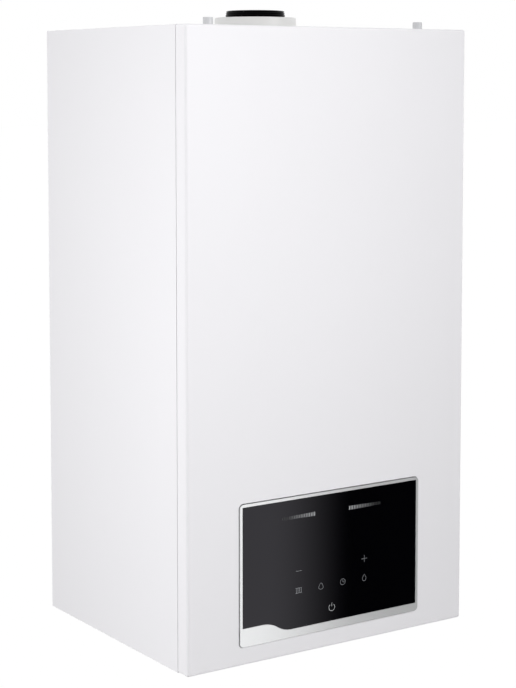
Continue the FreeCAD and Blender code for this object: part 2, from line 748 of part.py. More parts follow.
def drum_shelf():
    piece = Piece("drum_shelf")
    width, plate = S["shelf_width"] / 2, S["shelf_sheet"]
    high = drum_z - S["drum_foot"]
    reach = -(S["drum_back"] + S["drum_depth"] - S["drum_flange"] * 5)
    profile = [(back_face, high), (reach, high), (reach, high - plate), (back_face - plate, high - plate),
               (back_face - plate, high - S["shelf_fold"]), (back_face, high - S["shelf_fold"])]
    piece.pad("YZ", [profile], -width, width)
    gusset = [(back_face - plate / 2, high - plate / 2), (reach, high - plate / 2),
              (back_face - plate / 2, high - S["shelf_fold"])]
    piece.pad("YZ", [gusset], -width, plate - width)
    piece.pad("YZ", [gusset], width - plate, width)


def burner_parts():
    at = (0, drum_front, drum_z)
    door = Piece("burner_door", at, "-y")
    sheet_t, neck, bore = S["door_sheet"], S["door_neck"], S["mix_bore"]
    radius = S["drum_radius"] + S["drum_flange"]
    raised = sheet_t * 1.5
    door.turn([(bore, 0), (radius, 0), (radius, sheet_t), (S["lining_radius"] + sheet_t * 2, sheet_t),
               (S["lining_radius"], raised), (bore * 2, raised), (bore + S["mix_wall"], neck), (bore, neck)])
    spot, hole = S["electrode_offset"], S["electrode_radius"] + fit
    door.pocket("XY", [Disc(spot, spot, hole)], 0, raised)
    nuts = Piece("door_nuts", (0, drum_front - sheet_t, drum_z), "-y")
    flat = sheet_t * 0.75
    far = S["door_bolts"]
    hexagon = [(far + flat * math.cos(math.pi / 3 * n), flat * math.sin(math.pi / 3 * n)) for n in range(6)]
    nut = nuts.pad("XY", [hexagon], 0, flat)
    nuts.polar(nut, DOOR_NUTS)
    lining = Piece("door_insulation", at, "y")
    burner = S["burner_radius"]
    depth = S["lining_depth"]
    lining.turn(rectangle((burner + fit, S["lining_radius"]), (0, depth)))
    lining.pocket("XY", [Disc(spot, -spot, hole)], 0, depth)
    tube_piece = Piece("burner_tube", at, "y")
    length = S["burner_length"]
    tube_piece.turn([(bore, 0), (burner, 0), (burner, length), (0, length), (0, length - skin),
                     (burner - skin, length - skin), (burner - skin, skin), (bore, skin)])
    tip = S["electrode_radius"]
    ahead = drum_front - raised * 2
    electrode = Piece("ignition_electrode", (spot, ahead, drum_z + spot), "y")
    inside = raised * 2 + depth * 2
    far = inside + depth
    electrode.turn([(0, 0), (tip, 0), (tip, inside), (skin, inside), (skin, far), (0, far)])
    boot = S["electrode_radius"] + skin * 2
    electrode.pad("XY", [Disc(0, 0, boot)], -boot * 2, 0)
    electrode.pad("XZ", [Disc(0, -boot, boot)], -boot * 3, 0)
    lead_y = ahead - boot
    crest = top - fold * 3
    igniter = Piece("igniter")
    wide = fold * 2
    igniter.pad("XZ", [rectangle((spot - wide, spot + wide), (crest - wide, crest + wide * 0.75))],
                back_face - wide, back_face)
    low = drum_z + spot + boot * 3
    tube("ignition_lead", [(spot, back_face - wide, crest), (spot, lead_y + fold * 3.5, crest + fold / 3),
                           (spot, lead_y, crest - fold / 3), (spot, lead_y - skin * 2, low + fold * 3),
                           (spot, lead_y - skin * 2, low)], fold * 2, skin * 3, skin)


def fan():
    axis = (S["fan_offset"], drum_front - S["door_neck"] - S["mix_reach"] + S["fan_depth"] / 2,
            drum_z - S["fan_drop"])
    radius, depth, wall = S["fan_radius"], S["fan_depth"], S["fan_wall"]
    bore, duct = S["mix_bore"], S["mix_bore"] + S["mix_wall"]
    out_x, mouth = -S["fan_outlet"], S["fan_radius"] + skin
    housing = Piece("fan_housing", axis, "-y")
    housing.pad("XY", [Disc(0, 0, radius)], 0, depth)
    housing.pad("XY", [rectangle((out_x - depth / 2, out_x + depth / 2), (dim(0), mouth))], 0, depth)
    housing.pocket("XY", [Disc(0, 0, radius - wall * 2)], wall, depth)
    housing.pocket("XZ", [Disc(out_x, depth / 2, bore)], bore, mouth)
    housing.pocket("XY", [Disc(0, 0, S["mixer_radius"] - skin * 3)], 0, wall)
    motor = Piece("fan_motor", axis, "-y")
    can, long, pin = S["fan_can"], S["fan_can_depth"], S["shaft"]
    motor.turn([(pin + running, depth), (radius, depth), (radius, depth + wall), (can, depth + wall),
                (can, depth + long), (can - wall, depth + long + wall), (0, depth + long + wall),
                (0, depth + long), (pin + running, depth + long)])
    wheel = Piece("fan_wheel", axis, "-y")
    rim, back = S["fan_wheel"], depth - wall * 3
    wheel.turn([(0, wall * 3), (pin, wall * 3), (pin, back - skin), (rim, back - skin),
                (rim, back), (pin, back), (pin, depth + long - wall), (0, depth + long - wall)])
    hub, tip = rim / 2, rim - skin
    bow = rim
    far_x, far_y = tip * 0.8, tip * 0.55
    blade = wheel.pad("XY", [[(hub, dim(0), bow), (far_x, far_y), (far_x - skin * 2, far_y + skin, -bow),
                              (hub - skin, skin * 2)]], wall * 3, back - skin / 2)
    wheel.polar(blade, FAN_BLADES)
    plane = drum_front - S["door_neck"] - S["mix_reach"]
    turn_x = S["fan_offset"] + out_x
    tube("mixing_manifold", [(0, drum_front - S["door_neck"], drum_z), (0, plane, drum_z),
                             (turn_x, plane, drum_z), (turn_x, plane, axis[2] + mouth)],
         duct + wall, duct, S["mix_wall"])
    mixer = Piece("venturi_mixer", axis, "y")
    shell, length, throat = S["mixer_radius"], S["mixer_length"], S["mixer_throat"]
    mouth_r = shell - skin * 3
    mixer.turn([(mouth_r, 0), (shell + wall, 0), (shell + wall, wall), (shell, wall), (shell, length),
                (mouth_r, length), (throat, length / 2)])
    port, drop = S["mixer_port"], S["valve_drop"]
    mixer.pad("XZ", [Disc(0, port, S["pipe"] + skin * 3)], throat + wall, drop)
    mixer.pocket("XZ", [Disc(0, port, S["pipe"] - skin * 3)], throat - wall, drop)
    intake = axis[1] + length
    across, up = half - skin - shell - fold / 2, axis[2] + shell * 1.3
    turn_y = intake + shell * 1.7
    tube("intake_silencer", [(axis[0], intake, axis[2]), (axis[0], turn_y, axis[2]), (across, turn_y, up),
                             (across, turn_y, drum_z + radius * 1.5)],
         shell + skin, shell - skin * 2, skin * 2)
    gas_side(axis, axis[1] + port, axis[2] - drop)


def gas_side(axis, valve_y, outlet_z):
    valve = Piece("gas_valve")
    wide, deep, tall = S["valve_width"] / 2, S["valve_depth"] / 2, S["valve_height"]
    x = axis[0]
    neck = S["pipe"] + skin * 3
    high = outlet_z - neck * 2
    valve.pad("XY", [rectangle((x - wide, x + wide), (valve_y - deep, valve_y + deep))], high - tall, high)
    valve.fillet(skin * 3, runs_along("Z"))
    valve.pad("XY", [Disc(x, valve_y, neck)], high - skin, outlet_z)
    coil_r = wide / 2.5
    valve.pad("XZ", [Disc(x + wide / 2 * n, high - tall / 2, coil_r) for n in (-1, 1)],
              valve_y - deep - neck, valve_y - deep + skin)
    low = high - tall
    run = low - S["valve_drop"] * 1.5
    tube("gas_pipe", [(0, ports_y, bottom + S["port_end"]), (0, ports_y, run), (x / 2.5, valve_y, run),
                      (x, valve_y, run), (x, valve_y, low)], S["pipe"] * 2, S["pipe"], S["pipe_wall"])


def connections():
    pitch = S["port_pitch"]
    low, under = bottom + S["port_end"], bottom + S["base_height"]
    for label, thread, start, count in (("large_connectors", S["large_thread"], -pitch * 2, 3),
                                        ("small_connectors", S["small_thread"], -pitch, 2)):
        piece = Piece(label, (start, ports_y, low))
        collar, end = thread + S["port_collar"], S["port_thread"]
        rise, full = under - low, deck - low
        bore = S["pipe"] + fit
        stub = piece.turn([(bore, 0), (thread, 0), (thread, end), (collar, end), (collar, rise - fit),
                           (thread, rise - fit), (thread, full), (bore, full)])
        piece.row(stub, "X", -start * 2, count)


def water_blocks():
    pitch, barrel = S["port_pitch"], S["block_radius"]
    tap_y = ports_y - S["tap_forward"]
    port_r = barrel - skin * 2
    seat = deck + S["plate_seat"]
    rear = -(S["plate_front"] - S["plate_depth"])
    for label, hand in (("flow_block", -1), ("return_block", 1)):
        piece = Piece(label)
        ends = sorted((pitch * hand * 0.7, pitch * hand * 2.3), key=lambda end: end.value)
        piece.pad("YZ", [Disc(ports_y, block_z, barrel)], ends[0], ends[1])
        ports = [Disc(pitch * hand * n, ports_y, port_r) for n in (1, 2)]
        piece.pad("XY", ports, deck, block_z)
        arm = S["plate_width"] / 2 * hand
        reach = sorted((arm - barrel * hand, arm), key=lambda end: end.value)
        piece.pad("XY", [rectangle(reach, (ports_y, rear))], block_z, seat)
        tap_x = pitch * 1.5 * hand
        piece.pad("XY", [Disc(tap_x, tap_y, S["tap_stem"] * 2)], deck, block_z)
        piece.pad("XY", [rectangle((tap_x - S["tap_stem"] * 2, tap_x + S["tap_stem"] * 2), (tap_y, ports_y))],
                  block_z - barrel / 2, block_z)
        if hand < 0:
            flow_details(piece)
        else:
            return_details(piece)
        way = S["pipe"] - skin
        piece.pocket("XY", [Disc(pitch * hand, ports_y, way), Disc(pitch * hand * 2, ports_y, way)],
                     deck, block_z)
        piece.pocket("XY", [Disc(tap_x, tap_y, S["tap_stem"] + running)], deck, deck + S["tap_stem"] * 4)


def flow_pipe_x():
    return -(S["port_pitch"] * 1.7)


def flow_details(piece):
    pitch, barrel, bore = S["port_pitch"], S["block_radius"], S["diverter_bore"]
    face = ports_y - barrel * 2.2
    boss = S["pipe"] + skin * 4
    seat = deck + S["plate_seat"] + fold
    piece.pad("XY", [Disc(flow_pipe_x(), ports_y, boss)], block_z, seat)
    piece.pad("XZ", [Disc(-pitch * 2, block_z, barrel)], face, ports_y)
    piece.pad("XZ", [Disc(-pitch, block_z, barrel - skin * 5)], relief_y(), ports_y)
    piece.pocket("XY", [Disc(flow_pipe_x(), ports_y, S["pipe"] + fit)], seat - fold, seat)
    piece.pocket("XZ", [Disc(-pitch * 2, block_z, bore)], face, ports_y + bore)
    motor = Piece("diverter_motor")
    wide = barrel * 1.3
    rod = skin * 3
    motor.pad("XZ", [rectangle((-pitch * 2 - wide, -pitch * 2 + wide), (block_z - wide, block_z + wide))],
              face - barrel * 2, face)
    motor.fillet(skin * 4, runs_along("Y"))
    motor.pocket("XZ", [Disc(-pitch * 2, block_z, rod + running)], face - barrel, face)
    stem = Piece("diverter_stem", (-pitch * 2, face, block_z), "y")
    disc = bore - skin / 2
    back, ahead = barrel * 0.7, barrel * 2.2
    stem.turn([(0, -back), (rod, -back), (rod, bore), (disc, bore), (disc, bore * 1.5), (rod, bore * 1.5),
               (rod, ahead - bore), (disc, ahead - bore), (disc, ahead - bore / 2), (0, ahead - bore / 2)])


def return_details(piece):
    neck = S["pipe"] + skin * 7
    pump_y = -(S["pump_back"] + S["pump_depth"] / 2)
    foot = deck + S["pump_height"] - S["pump_radius"] - skin * 10
    piece.pad("XY", [Disc(S["pump_side"], pump_y, neck)], block_z, foot)
    hose_x, hose_y = vessel_port()
    piece.pad("XY", [rectangle((hose_x - S["hose"], hose_x + S["hose"]), (ports_y, hose_y + S["hose"]))],
              block_z - S["hose"], block_z)
    piece.pad("XY", [Disc(hose_x, hose_y, S["hose"])], block_z - S["hose"], deck + S["plate_seat"])


def vessel_port():
    return half - S["hose"] * 6, -(S["plate_front"] - S["plate_depth"] / 2)


def plate_exchanger():
    piece = Piece("plate_exchanger")
    wide, deep, tall, lip = S["plate_width"] / 2, S["plate_depth"], S["plate_height"], S["plate_lip"]
    low, near = deck + S["plate_seat"], -S["plate_front"]
    corner = lip * 6
    pack = rounded((lip - wide, wide - lip), (low + lip, low + tall - lip), corner)
    piece.pad("XZ", [pack], near, near + deep)
    rim = piece.pad("XZ", [rounded((-wide, wide), (low, low + tall), corner)], near, near + lip)
    piece.row(rim, "Y", deep - lip, PLATE_RIMS)


def pump():
    at = (S["pump_side"], -S["pump_back"], deck + S["pump_height"])
    radius, bore, depth = S["pump_radius"], S["pump_bore"], S["pump_depth"]
    wall = radius - bore
    housing = Piece("pump_housing", at, "-y")
    housing.turn([(0, 0), (radius, 0), (radius, depth), (bore, depth), (bore, wall), (0, wall)])
    neck = S["pipe"] + skin * 4
    housing.pad("XZ", [Disc(0, depth / 2, neck + skin * 3)], -(radius + wall), -(radius - skin * 5))
    housing.pad("XZ", [Disc(0, depth / 2, neck)], radius - skin * 3, radius + wall)
    vent_x = radius * 0.7
    housing.pad("XZ", [Disc(vent_x, depth / 2, neck - skin * 2)], radius * 0.65, radius)
    housing.pocket("XZ", [Disc(0, depth / 2, S["pipe"] + fit)], bore - skin, radius + wall)
    housing.pocket("XZ", [Disc(0, depth / 2, S["pipe"])], -(radius + wall), -(bore - skin))
    motor = Piece("pump_motor", at, "-y")
    can, long, pin = S["pump_can"], S["pump_can_depth"], S["shaft"]
    rim = skin * 6
    motor.turn([(pin + running, depth), (radius, depth), (radius, depth + rim), (can, depth + rim),
                (can, depth + long - rim), (can - rim, depth + long), (0, depth + long),
                (0, depth + long / 2), (pin + running, depth + long / 2)])
    rotor = Piece("pump_rotor", at, "-y")
    disc, back = bore - skin * 3, depth - wall
    rotor.turn([(0, wall * 1.5), (pin, wall * 1.5), (pin, back - skin * 3), (disc, back - skin * 3),
                (disc, back), (pin, back), (pin, depth + long / 2 - rim), (0, depth + long / 2 - rim)])
    vane = rotor.pad("XY", [rectangle((pin - skin, disc - skin), (-skin, skin))], wall * 2, back - skin)
    rotor.polar(vane, PUMP_VANES)
    vent = Piece("air_vent", (at[0] + vent_x, at[1] - depth / 2, at[2] + radius))
    vent.turn([(0, 0), (neck, 0), (neck, neck * 3), (neck / 2, neck * 3.4), (neck / 2, neck * 4),
               (0, neck * 4)])


def relief_valve():
    at = (-S["port_pitch"], relief_y(), block_z)
    body = S["block_radius"] - skin * 6
    length, pin, spout = body * 2, S["shaft"], S["relief_spout"]
    valve = Piece("safety_valve", at, "-y")
    valve.turn([(0, 0), (body, 0), (body, length), (pin + running, length), (pin + running, length / 2),
                (0, length / 2)])
    valve.pad("XZ", [Disc(0, spout, S["hose"])], -(S["block_height"] + fold * 1.5), -body / 2)
    knob = Piece("safety_valve_knob", at, "-y")
    grip = S["relief_knob"]
    start, end = length + fit, length + fold * 1.6
    knob.turn([(0, length / 2 + skin), (pin, length / 2 + skin), (pin, start), (grip, start),
               (grip, end - skin), (grip - skin, end), (0, end)])
    flute = knob.pocket("XY", [Disc(grip + skin, 0, skin * 3)], start, end)
    knob.polar(flute, 8)


def taps():
    stem, grip = S["tap_stem"], S["tap_knob"]
    tap_y = ports_y - S["tap_forward"]
    under = bottom + S["base_height"] - skin * 6
    rise = deck + stem * 4 - skin - under
    at = (S["port_pitch"] * 1.5, tap_y, under)
    knob = Piece("filling_tap", at)
    knob.turn([(0, -grip * 1.5), (grip - skin, -grip * 1.5), (grip, skin - grip * 1.5), (grip, 0), (stem, 0),
               (stem, rise), (0, rise)])
    flute = knob.pocket("XY", [Disc(grip + skin, 0, skin * 3)], -grip * 1.5, dim(0))
    knob.polar(flute, 6)
    cock = Piece("drain_tap", (-at[0], tap_y, under))
    cock.turn([(0, -stem * 2), (stem * 1.6, -stem * 2), (stem * 1.6, 0), (stem, 0), (stem, rise), (0, rise)])
    cock.pad("XY", [rectangle((-stem * 2.6, stem * 2.6), (-skin * 2, skin * 2))], -stem * 3.6, -stem * 2)


def vessel():
    left = skin + fit - half
    wall, corner, depth = S["vessel_wall"], S["vessel_corner"], S["vessel_depth"]
    low = bottom + S["vessel_base"]
    rear = -S["drum_back"]
    across, up = (rear - S["vessel_width"], rear), (low, low + S["vessel_height"])
    outer = Piece("vessel_outside", keep=False)
    outer.pad("YZ", [rounded(across, up, corner)], left, left + depth)
    outer.fillet(fold, in_plane("X", left))
    outer.fillet(fold, in_plane("X", left + depth))
    inner = Piece("vessel_inside", keep=False)
    room = rounded((across[0] + wall, across[1] - wall), (up[0] + wall, up[1] - wall), corner - wall)
    inner.pad("YZ", [room],
              left + wall, left + depth - wall)
    inner.fillet(fold - wall, in_plane("X", left + wall))
    inner.fillet(fold - wall, in_plane("X", left + depth - wall))
    middle = left + depth / 2
    seam_w = wall * 3
    rim = Piece("vessel_rim", keep=False)
    edge_y, edge_z = (across[0] - seam_w, across[1] + seam_w), (up[0] - seam_w, up[1] + seam_w)
    rim.pad("YZ", [rounded(edge_y, edge_z, corner + seam_w)],
            middle - seam_w, middle + seam_w)
    port = Piece("vessel_spigot", keep=False)
    port_y = vessel_port()[1]
    port.pad("XY", [Disc(middle + seam_w * 4, port_y, S["hose"])], low - fold * 2, low + fold)
    union = doc.addObject("Part::MultiFuse", "vessel_union")
    union.Shapes = [outer.body, rim.body, port.body]
    cut = doc.addObject("Part::Cut", "expansion_vessel")
    cut.Label = "expansion_vessel"
    cut.Base, cut.Tool = union, inner.body
    pieces.append(cut)
    port_x = middle + seam_w * 4
    drop = low - fold * 4
    end_x, end_y = vessel_port()
    tube("vessel_hose", [(port_x, port_y, low - fold * 2), (port_x, port_y, drop),
                         (dim(0), end_y, drop - fold), (end_x, end_y, drop),
                         (end_x, end_y, deck + S["plate_seat"])],
         S["hose"] * 2, S["hose"], S["hose_wall"])


def copper_pipes():
    run = S["coil_pitch"] * COIL_TURNS
    high = drum_z - S["drum_stub"]
    flow_y = -(S["drum_back"] + S["coil_start"] + run)
    x = S["coil_radius"]
    seat = deck + S["plate_seat"]
    lower = seat + S["drum_stub"] * 1.2
    bend = S["pipe"] * 2.5
    tube("flow_pipe", [(-x, flow_y, high), (-x, flow_y, lower + S["pump_radius"] * 2),
                       (flow_pipe_x(), ports_y, lower),
                       (flow_pipe_x(), ports_y, seat + skin)], bend, S["pipe"], S["pipe_wall"])
    return_y = -(S["drum_back"] + S["coil_start"])
    pump_y = -(S["pump_back"] + S["pump_depth"] / 2)
    inlet = deck + S["pump_height"] + S["pump_radius"]
    end_x = S["pump_side"]
    tube("return_pipe", [(x, return_y, high), (x, return_y, inlet + S["drum_stub"] * 1.3),
                         (end_x, pump_y, inlet + bend * 2), (end_x, pump_y, inlet)],
         bend, S["pipe"], S["pipe_wall"])


def condensate():
    at = (-S["trap_side"], -S["trap_forward"], deck)
    radius, wall, tall, outlet = S["trap_radius"], S["trap_wall"], S["trap_height"], S["trap_drain"]
    flange = radius + fold
    drain = S["drain_radius"]
    neck = fold
    spigot = S["hose"]
    bore = spigot - S["hose_wall"]
    body = Piece("condensate_trap", at)
    body.turn([(radius - wall, -neck), (radius, -neck), (radius, 0), (flange, 0), (flange, wall),
               (radius, wall),
               (radius, tall - wall), (spigot, tall), (spigot, tall + fold), (bore, tall + fold),
               (bore, tall - wall * 2),
               (radius - wall, tall - wall * 2)])
    shoulder = -(S["frame_sheet"] + skin * 4)
    body.pad("XY", [Disc(0, outlet, drain)], bottom + S["port_end"] - deck, shoulder)
    body.pad("XY", [Disc(0, outlet, drain + skin)], shoulder, radius * 2.5)
    bridge = rectangle((-drain / 2, drain / 2), (radius - wall / 2, outlet))
    body.pad("XY", [bridge], radius * 2, radius * 2.5)
    body.pocket("XY", [Disc(0, outlet, drain - wall)], bottom + S["port_end"] - deck, radius * 2)
    cup = Piece("trap_cup", at)
    outer, low = radius + fit + wall, bottom + fold - deck
    cup.turn([(0, low), (outer, low), (outer, shoulder), (radius + fit, shoulder), (radius + fit, low + wall),
              (0, low + wall)])
    grip = cup.pad("XY", [Disc(outer, 0, wall)], low, shoulder)
    cup.polar(grip, 12)
    drip_y = -(S["drum_back"] + S["drum_depth"] - S["drum_flange"] * 2)
    high = drum_z - S["drum_foot"]
    end = deck + tall + fold
    lower = end + S["hose"] * 6
    tube("condensate_hose", [(0, drip_y, high), (0, drip_y, high - S["hose"] * 8), (at[0], at[1], lower),
                             (at[0], at[1], end)], S["hose"] * 2, S["hose"], S["hose_wall"])


def control_box():
    wide = S["box_width"] / 2
    low, high = bottom + S["box_bottom"], bottom + S["box_bottom"] + S["box_height"]
    near = front + S["box_setback"]
    far = near + S["box_depth"]
    wall = S["box_wall"]
    hinge_y, hinge_z, pin = front + S["hinge_setback"], bottom + S["hinge_height"], S["hinge_pin"]
    plate = S["hinge_plate"]
    tray = Piece("control_tray")
    tray.tray("XZ", (-wide, wide), (low, high), near, far, wall, "high")
    reach = wide + fold
    tray.pad("YZ", [Disc(hinge_y, hinge_z, pin)], wide - wall / 2, reach)
    tray.pad("YZ", [Disc(hinge_y, hinge_z, pin)], -reach, wall / 2 - wide)
    post = wall * 1.2
    board = S["board_sheet"]
    side, lower, upper = wide - fold * 2, low + fold * 2, high - fold * 2
    posts = [Disc(x, z, post) for x in (-side, side) for z in (lower, upper)]
    tray.pad("XZ", posts, far - wall * 3, far - wall / 2)
    main = Piece("main_board")
    level = far - wall * 3
    main.pad("XZ", [rectangle((-side - fold / 2, side + fold / 2), (lower - fold / 2, upper + fold / 2))],
             level - board, level)
    relay_z = (upper - fold * 3, upper - fold)
    relay = [rectangle((fold * n * 3 - side, fold * (n * 3 + 2) - side), relay_z) for n in range(4)]
    main.pad("XZ", relay, level - board - fold, level - board / 2)
    plug_z = (lower, lower + fold)
    plugs = [rectangle((fold * n * 2 - side, fold * (n * 2 + 1.5) - side), plug_z) for n in range(9)]
    main.pad("XZ", plugs, level - board - fold, level - board / 2)
    main.pad("XZ", [rectangle((side - fold * 5, side - fold), (upper - fold * 5, upper - fold))],
             level - board - fold * 2, level - board / 2)
    bracket = Piece("hinge_brackets", (-(wide + fit * 4 + plate), 0, 0))
    shelf = front + S["base_setback"]
    ear = pin + wall * 2
    arm = [(shelf, deck + plate), (hinge_y - ear, deck + plate), (hinge_y - ear, hinge_z - ear),
           (hinge_y + ear, hinge_z - ear), (shelf, bottom + S["base_height"])]
    left = bracket.pad("YZ", [arm], 0, plate)
    left_hole = bracket.pocket("YZ", [Disc(hinge_y, hinge_z, pin + running)], 0, plate)
    pattern = bracket.body.newObject("PartDesign::LinearPattern", "Pattern")
    pattern.Originals = [left, left_hole]
    pattern.Direction = (bracket.role("X_Axis"), [""])
    bind(pattern, "Length", (wide + fit * 4) * 2 + plate)
    pattern.Occurrences = 2
    bracket.body.Tip = pattern
    display(wide, low, high, near)


def glass_outline(grow):
    """The glass, with its lower edge stepping down in a wave from left to right."""
    across = S["window_width"] / 2 - S["bezel_gap"] - S["bezel_rim"] + grow
    base = bottom + S["window_bottom"] + S["bezel_gap"]
    high = base + S["window_height"] - S["bezel_gap"] * 2 - S["bezel_rim"] + grow
    low = base + S["chin_low"] - grow
    step, run = S["chin_step"], S["step_run"]
    start = S["step_start"] - S["window_width"] / 2 + S["bezel_gap"] + S["bezel_rim"]
    bend = (run * run + step * step) / (step * 4)
    return [(-across, low + step), (start, low + step, bend), (start + run / 2, low + step / 2, -bend),
            (start + run, low), (across, low), (across, high), (-across, high)]


def display(wide, low, high, near):
    gap, proud, rim = S["bezel_gap"], S["bezel_proud"], S["bezel_rim"]
    across = S["window_width"] / 2 - gap
    base = bottom + S["window_bottom"] + gap
    peak = base + S["window_height"] - gap * 2
    face = front - proud
    flange = near - skin * 3
    bezel = Piece("display_bezel")
    bezel.pad("XZ", [rectangle((-wide, wide), (low, high))], flange, near)
    bezel.pad("XZ", [rounded((-across, across), (base, peak), S["window_radius"] - gap)], face, flange + skin)
    depth = S["glass_sheet"] + fit
    bezel.pocket("XZ", [glass_outline(fit)], face, face + depth)
    ledge_in = rim * 3
    view_low = base + S["chin_low"] + S["chin_step"] + ledge_in
    view = rectangle((ledge_in - across, across - ledge_in), (view_low, peak - ledge_in))
    bezel.pocket("XZ", [view], face, near)
    glass = Piece("touch_glass")
    glass.pad("XZ", [glass_outline(0)], face + fit, face + depth)
    board = Piece("display_board")
    edge = fit * 2
    inner = rectangle((view[0][0] + edge, view[1][0] - edge), (view[0][1] + edge, view[2][1] - edge))
    board.pad("XZ", [inner], face + depth, face + depth + S["board_sheet"])
    chip_z = (base + fold * 5, base + fold * 6)
    parts = [rectangle((fold * n - fold / 3, fold * n + fold / 3), chip_z) for n in (-6, -3, 0, 3, 6)]
    board.pad("XZ", parts, face + depth + S["board_sheet"] / 2, near)


def grommets():
    piece = Piece("cable_grommets", (grommet_x(), grommet_y(), bottom + S["base_height"]))
    radius, plate, lip = S["grommet"], S["frame_sheet"], skin * 3
    one = piece.turn([(0, -lip * 2), (radius, -lip * 2), (radius + lip, -fit), (radius, -fit),
                      (radius, plate + fit), (radius + lip, plate + fit),
                      (radius, plate + lip), (0, plate + lip)])
    piece.row(one, "Y", radius * 4, 2)


for build in (wall_bracket, back_plate, base_plate, top_plate, side_panels, front_cover, cover_fixings,
              cover_seal, flue, drum, coil, drum_shelf, burner_parts, fan, connections, water_blocks,
              plate_exchanger, pump, relief_valve, taps, vessel, copper_pipes, condensate, control_box,
              grommets):
    build()
doc.recompute()

faults = [item.Label for item in doc.Objects if "Invalid" in item.State or "Error" in item.State]
faults += [item.Label for item in pieces if item.Shape.isNull() or not item.Shape.isValid()]
if faults:
    raise RuntimeError("not built: " + ", ".join(faults))
os.makedirs("parts", exist_ok=True)
for item in pieces:
    item.Shape.exportStep(f"parts/{item.Label}.step")
print(len(pieces), "pieces built")
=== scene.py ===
"""Looks of a wall-hung condensing gas boiler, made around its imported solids.

Laid out as an add-on and run as a script: each operator makes one group of pieces.
"""
import json
import math

import bmesh
import bpy
from bpy.props import FloatProperty, FloatVectorProperty, IntProperty, PointerProperty
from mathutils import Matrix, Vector


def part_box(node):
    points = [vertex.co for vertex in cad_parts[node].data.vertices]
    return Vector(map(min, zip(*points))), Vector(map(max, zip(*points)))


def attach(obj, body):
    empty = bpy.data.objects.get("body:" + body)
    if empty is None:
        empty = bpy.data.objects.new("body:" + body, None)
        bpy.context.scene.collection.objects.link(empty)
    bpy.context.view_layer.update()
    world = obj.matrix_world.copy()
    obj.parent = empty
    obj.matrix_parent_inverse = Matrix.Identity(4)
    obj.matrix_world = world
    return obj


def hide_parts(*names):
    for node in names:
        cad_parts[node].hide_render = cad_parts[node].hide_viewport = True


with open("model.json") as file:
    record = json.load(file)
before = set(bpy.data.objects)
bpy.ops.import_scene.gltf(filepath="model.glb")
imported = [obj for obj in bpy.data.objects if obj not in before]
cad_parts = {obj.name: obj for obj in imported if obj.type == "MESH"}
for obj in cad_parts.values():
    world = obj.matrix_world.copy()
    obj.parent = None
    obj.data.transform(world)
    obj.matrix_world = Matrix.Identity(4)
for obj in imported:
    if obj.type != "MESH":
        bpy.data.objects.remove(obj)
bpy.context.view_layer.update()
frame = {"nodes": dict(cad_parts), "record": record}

bl_info = {
    "name": "Condensing gas boiler",
    "version": (1, 0, 0),
    "blender": (4, 5, 0),
    "location": "3D View > Sidebar > Boiler",
    "description": "Finishes, panel marks, hoses and fasteners of a wall-hung boiler",
    "category": "Object",
}

MM = 0.001

# Points nearer than this are one
WELD = MM / 1000

# Points round a small circle, a strip and a large ring, and steps round a corner
ROUND, STRIP_SIDES, LARGE_ROUND, CORNER_STEPS = 24, 16, 96, 8

# Ways that a piece can face: out of the boiler's front, to the wall, and up
FRONT, WALL, UP = (0, -1, 0), (0, 1, 0), (0, 0, 1)

# Sockets of the colour form of the Mix node
MIX_FACTOR, MIX_FIRST, MIX_SECOND, MIX_RESULT = 0, 6, 7, 2


def linear(code):
    """Turn an sRGB hex value into linear red, green, blue and a full alpha."""
    parts = [int(code[at:at + 2], 16) / 255 for at in (0, 2, 4)]
    curve = [c / 12.92 if c <= 0.04045 else ((c + 0.055) / 1.055) ** 2.4 for c in parts]
    return (*curve, 1.0)


def per_metre(size_mm):
    """Texture scale for a pattern whose features have that size in millimetres."""
    return 1000 / size_mm


def add(tree, kind, inputs=None, **settings):
    """Add a node with its settings; an input is a constant, or an output socket to link."""
    node = tree.nodes.new(kind)
    for name, value in settings.items():
        setattr(node, name, value)
    for name, value in (inputs or {}).items():
        if isinstance(value, bpy.types.NodeSocket):
            tree.links.new(value, node.inputs[name])
        else:
            node.inputs[name].default_value = value
    return node


def colour(name, code, words):
    """A colour that a user may change, from its sRGB hex value."""
    return FloatVectorProperty(name=name, description=words, subtype="COLOR", size=4, min=0, max=1,
                               default=linear(code))


def length(name, size_mm, words):
    """A length that a user may change, from its size in millimetres."""
    return FloatProperty(name=name, description=words, unit="LENGTH", min=0, default=size_mm * MM)


class CasingLooks(bpy.types.PropertyGroup):
    paint: colour("Paint", "F4F3F6", "Powder coat of the casing")
    collar: colour("Collar", "DADAD9", "Plastic of the flue collar")
    silver: colour("Bezel", "FBFCFD", "Silver paint of the panel's bezel")
    glass: colour("Glass", "030305", "Print behind the touch glass")
    print_ink: colour("Marks", "D2D4D6", "Ticks and standby sign on the touch glass")
    dim_ink: colour("Dim marks", "8A8C90", "Plus, minus and pictograms on the touch glass")
    vessel: colour("Vessel", "A61C17", "Enamel of the expansion vessel")


class PanelSizes(bpy.types.PropertyGroup):
    tick_count: IntProperty(name="Ticks", description="Ticks in each row", default=20, min=2)
    tick_pitch: length("Tick pitch", 2.4, "From one tick to the next")
    tick_height: length("Tick height", 4.6, "Tallest tick, next to the middle")
    tick_width: length("Tick width", 0.85, "Width of a tick")
    tick_start: length("Row start", 25.5, "First tick from the middle of the panel")
    tick_last: FloatProperty(name="Last tick", description="Outermost tick, as a share of the tallest",
                             default=0.75, min=0, max=1)
    sign: length("Sign", 8.5, "Width of the plus and the minus")
    stroke: length("Stroke", 0.46, "Line width of the signs")


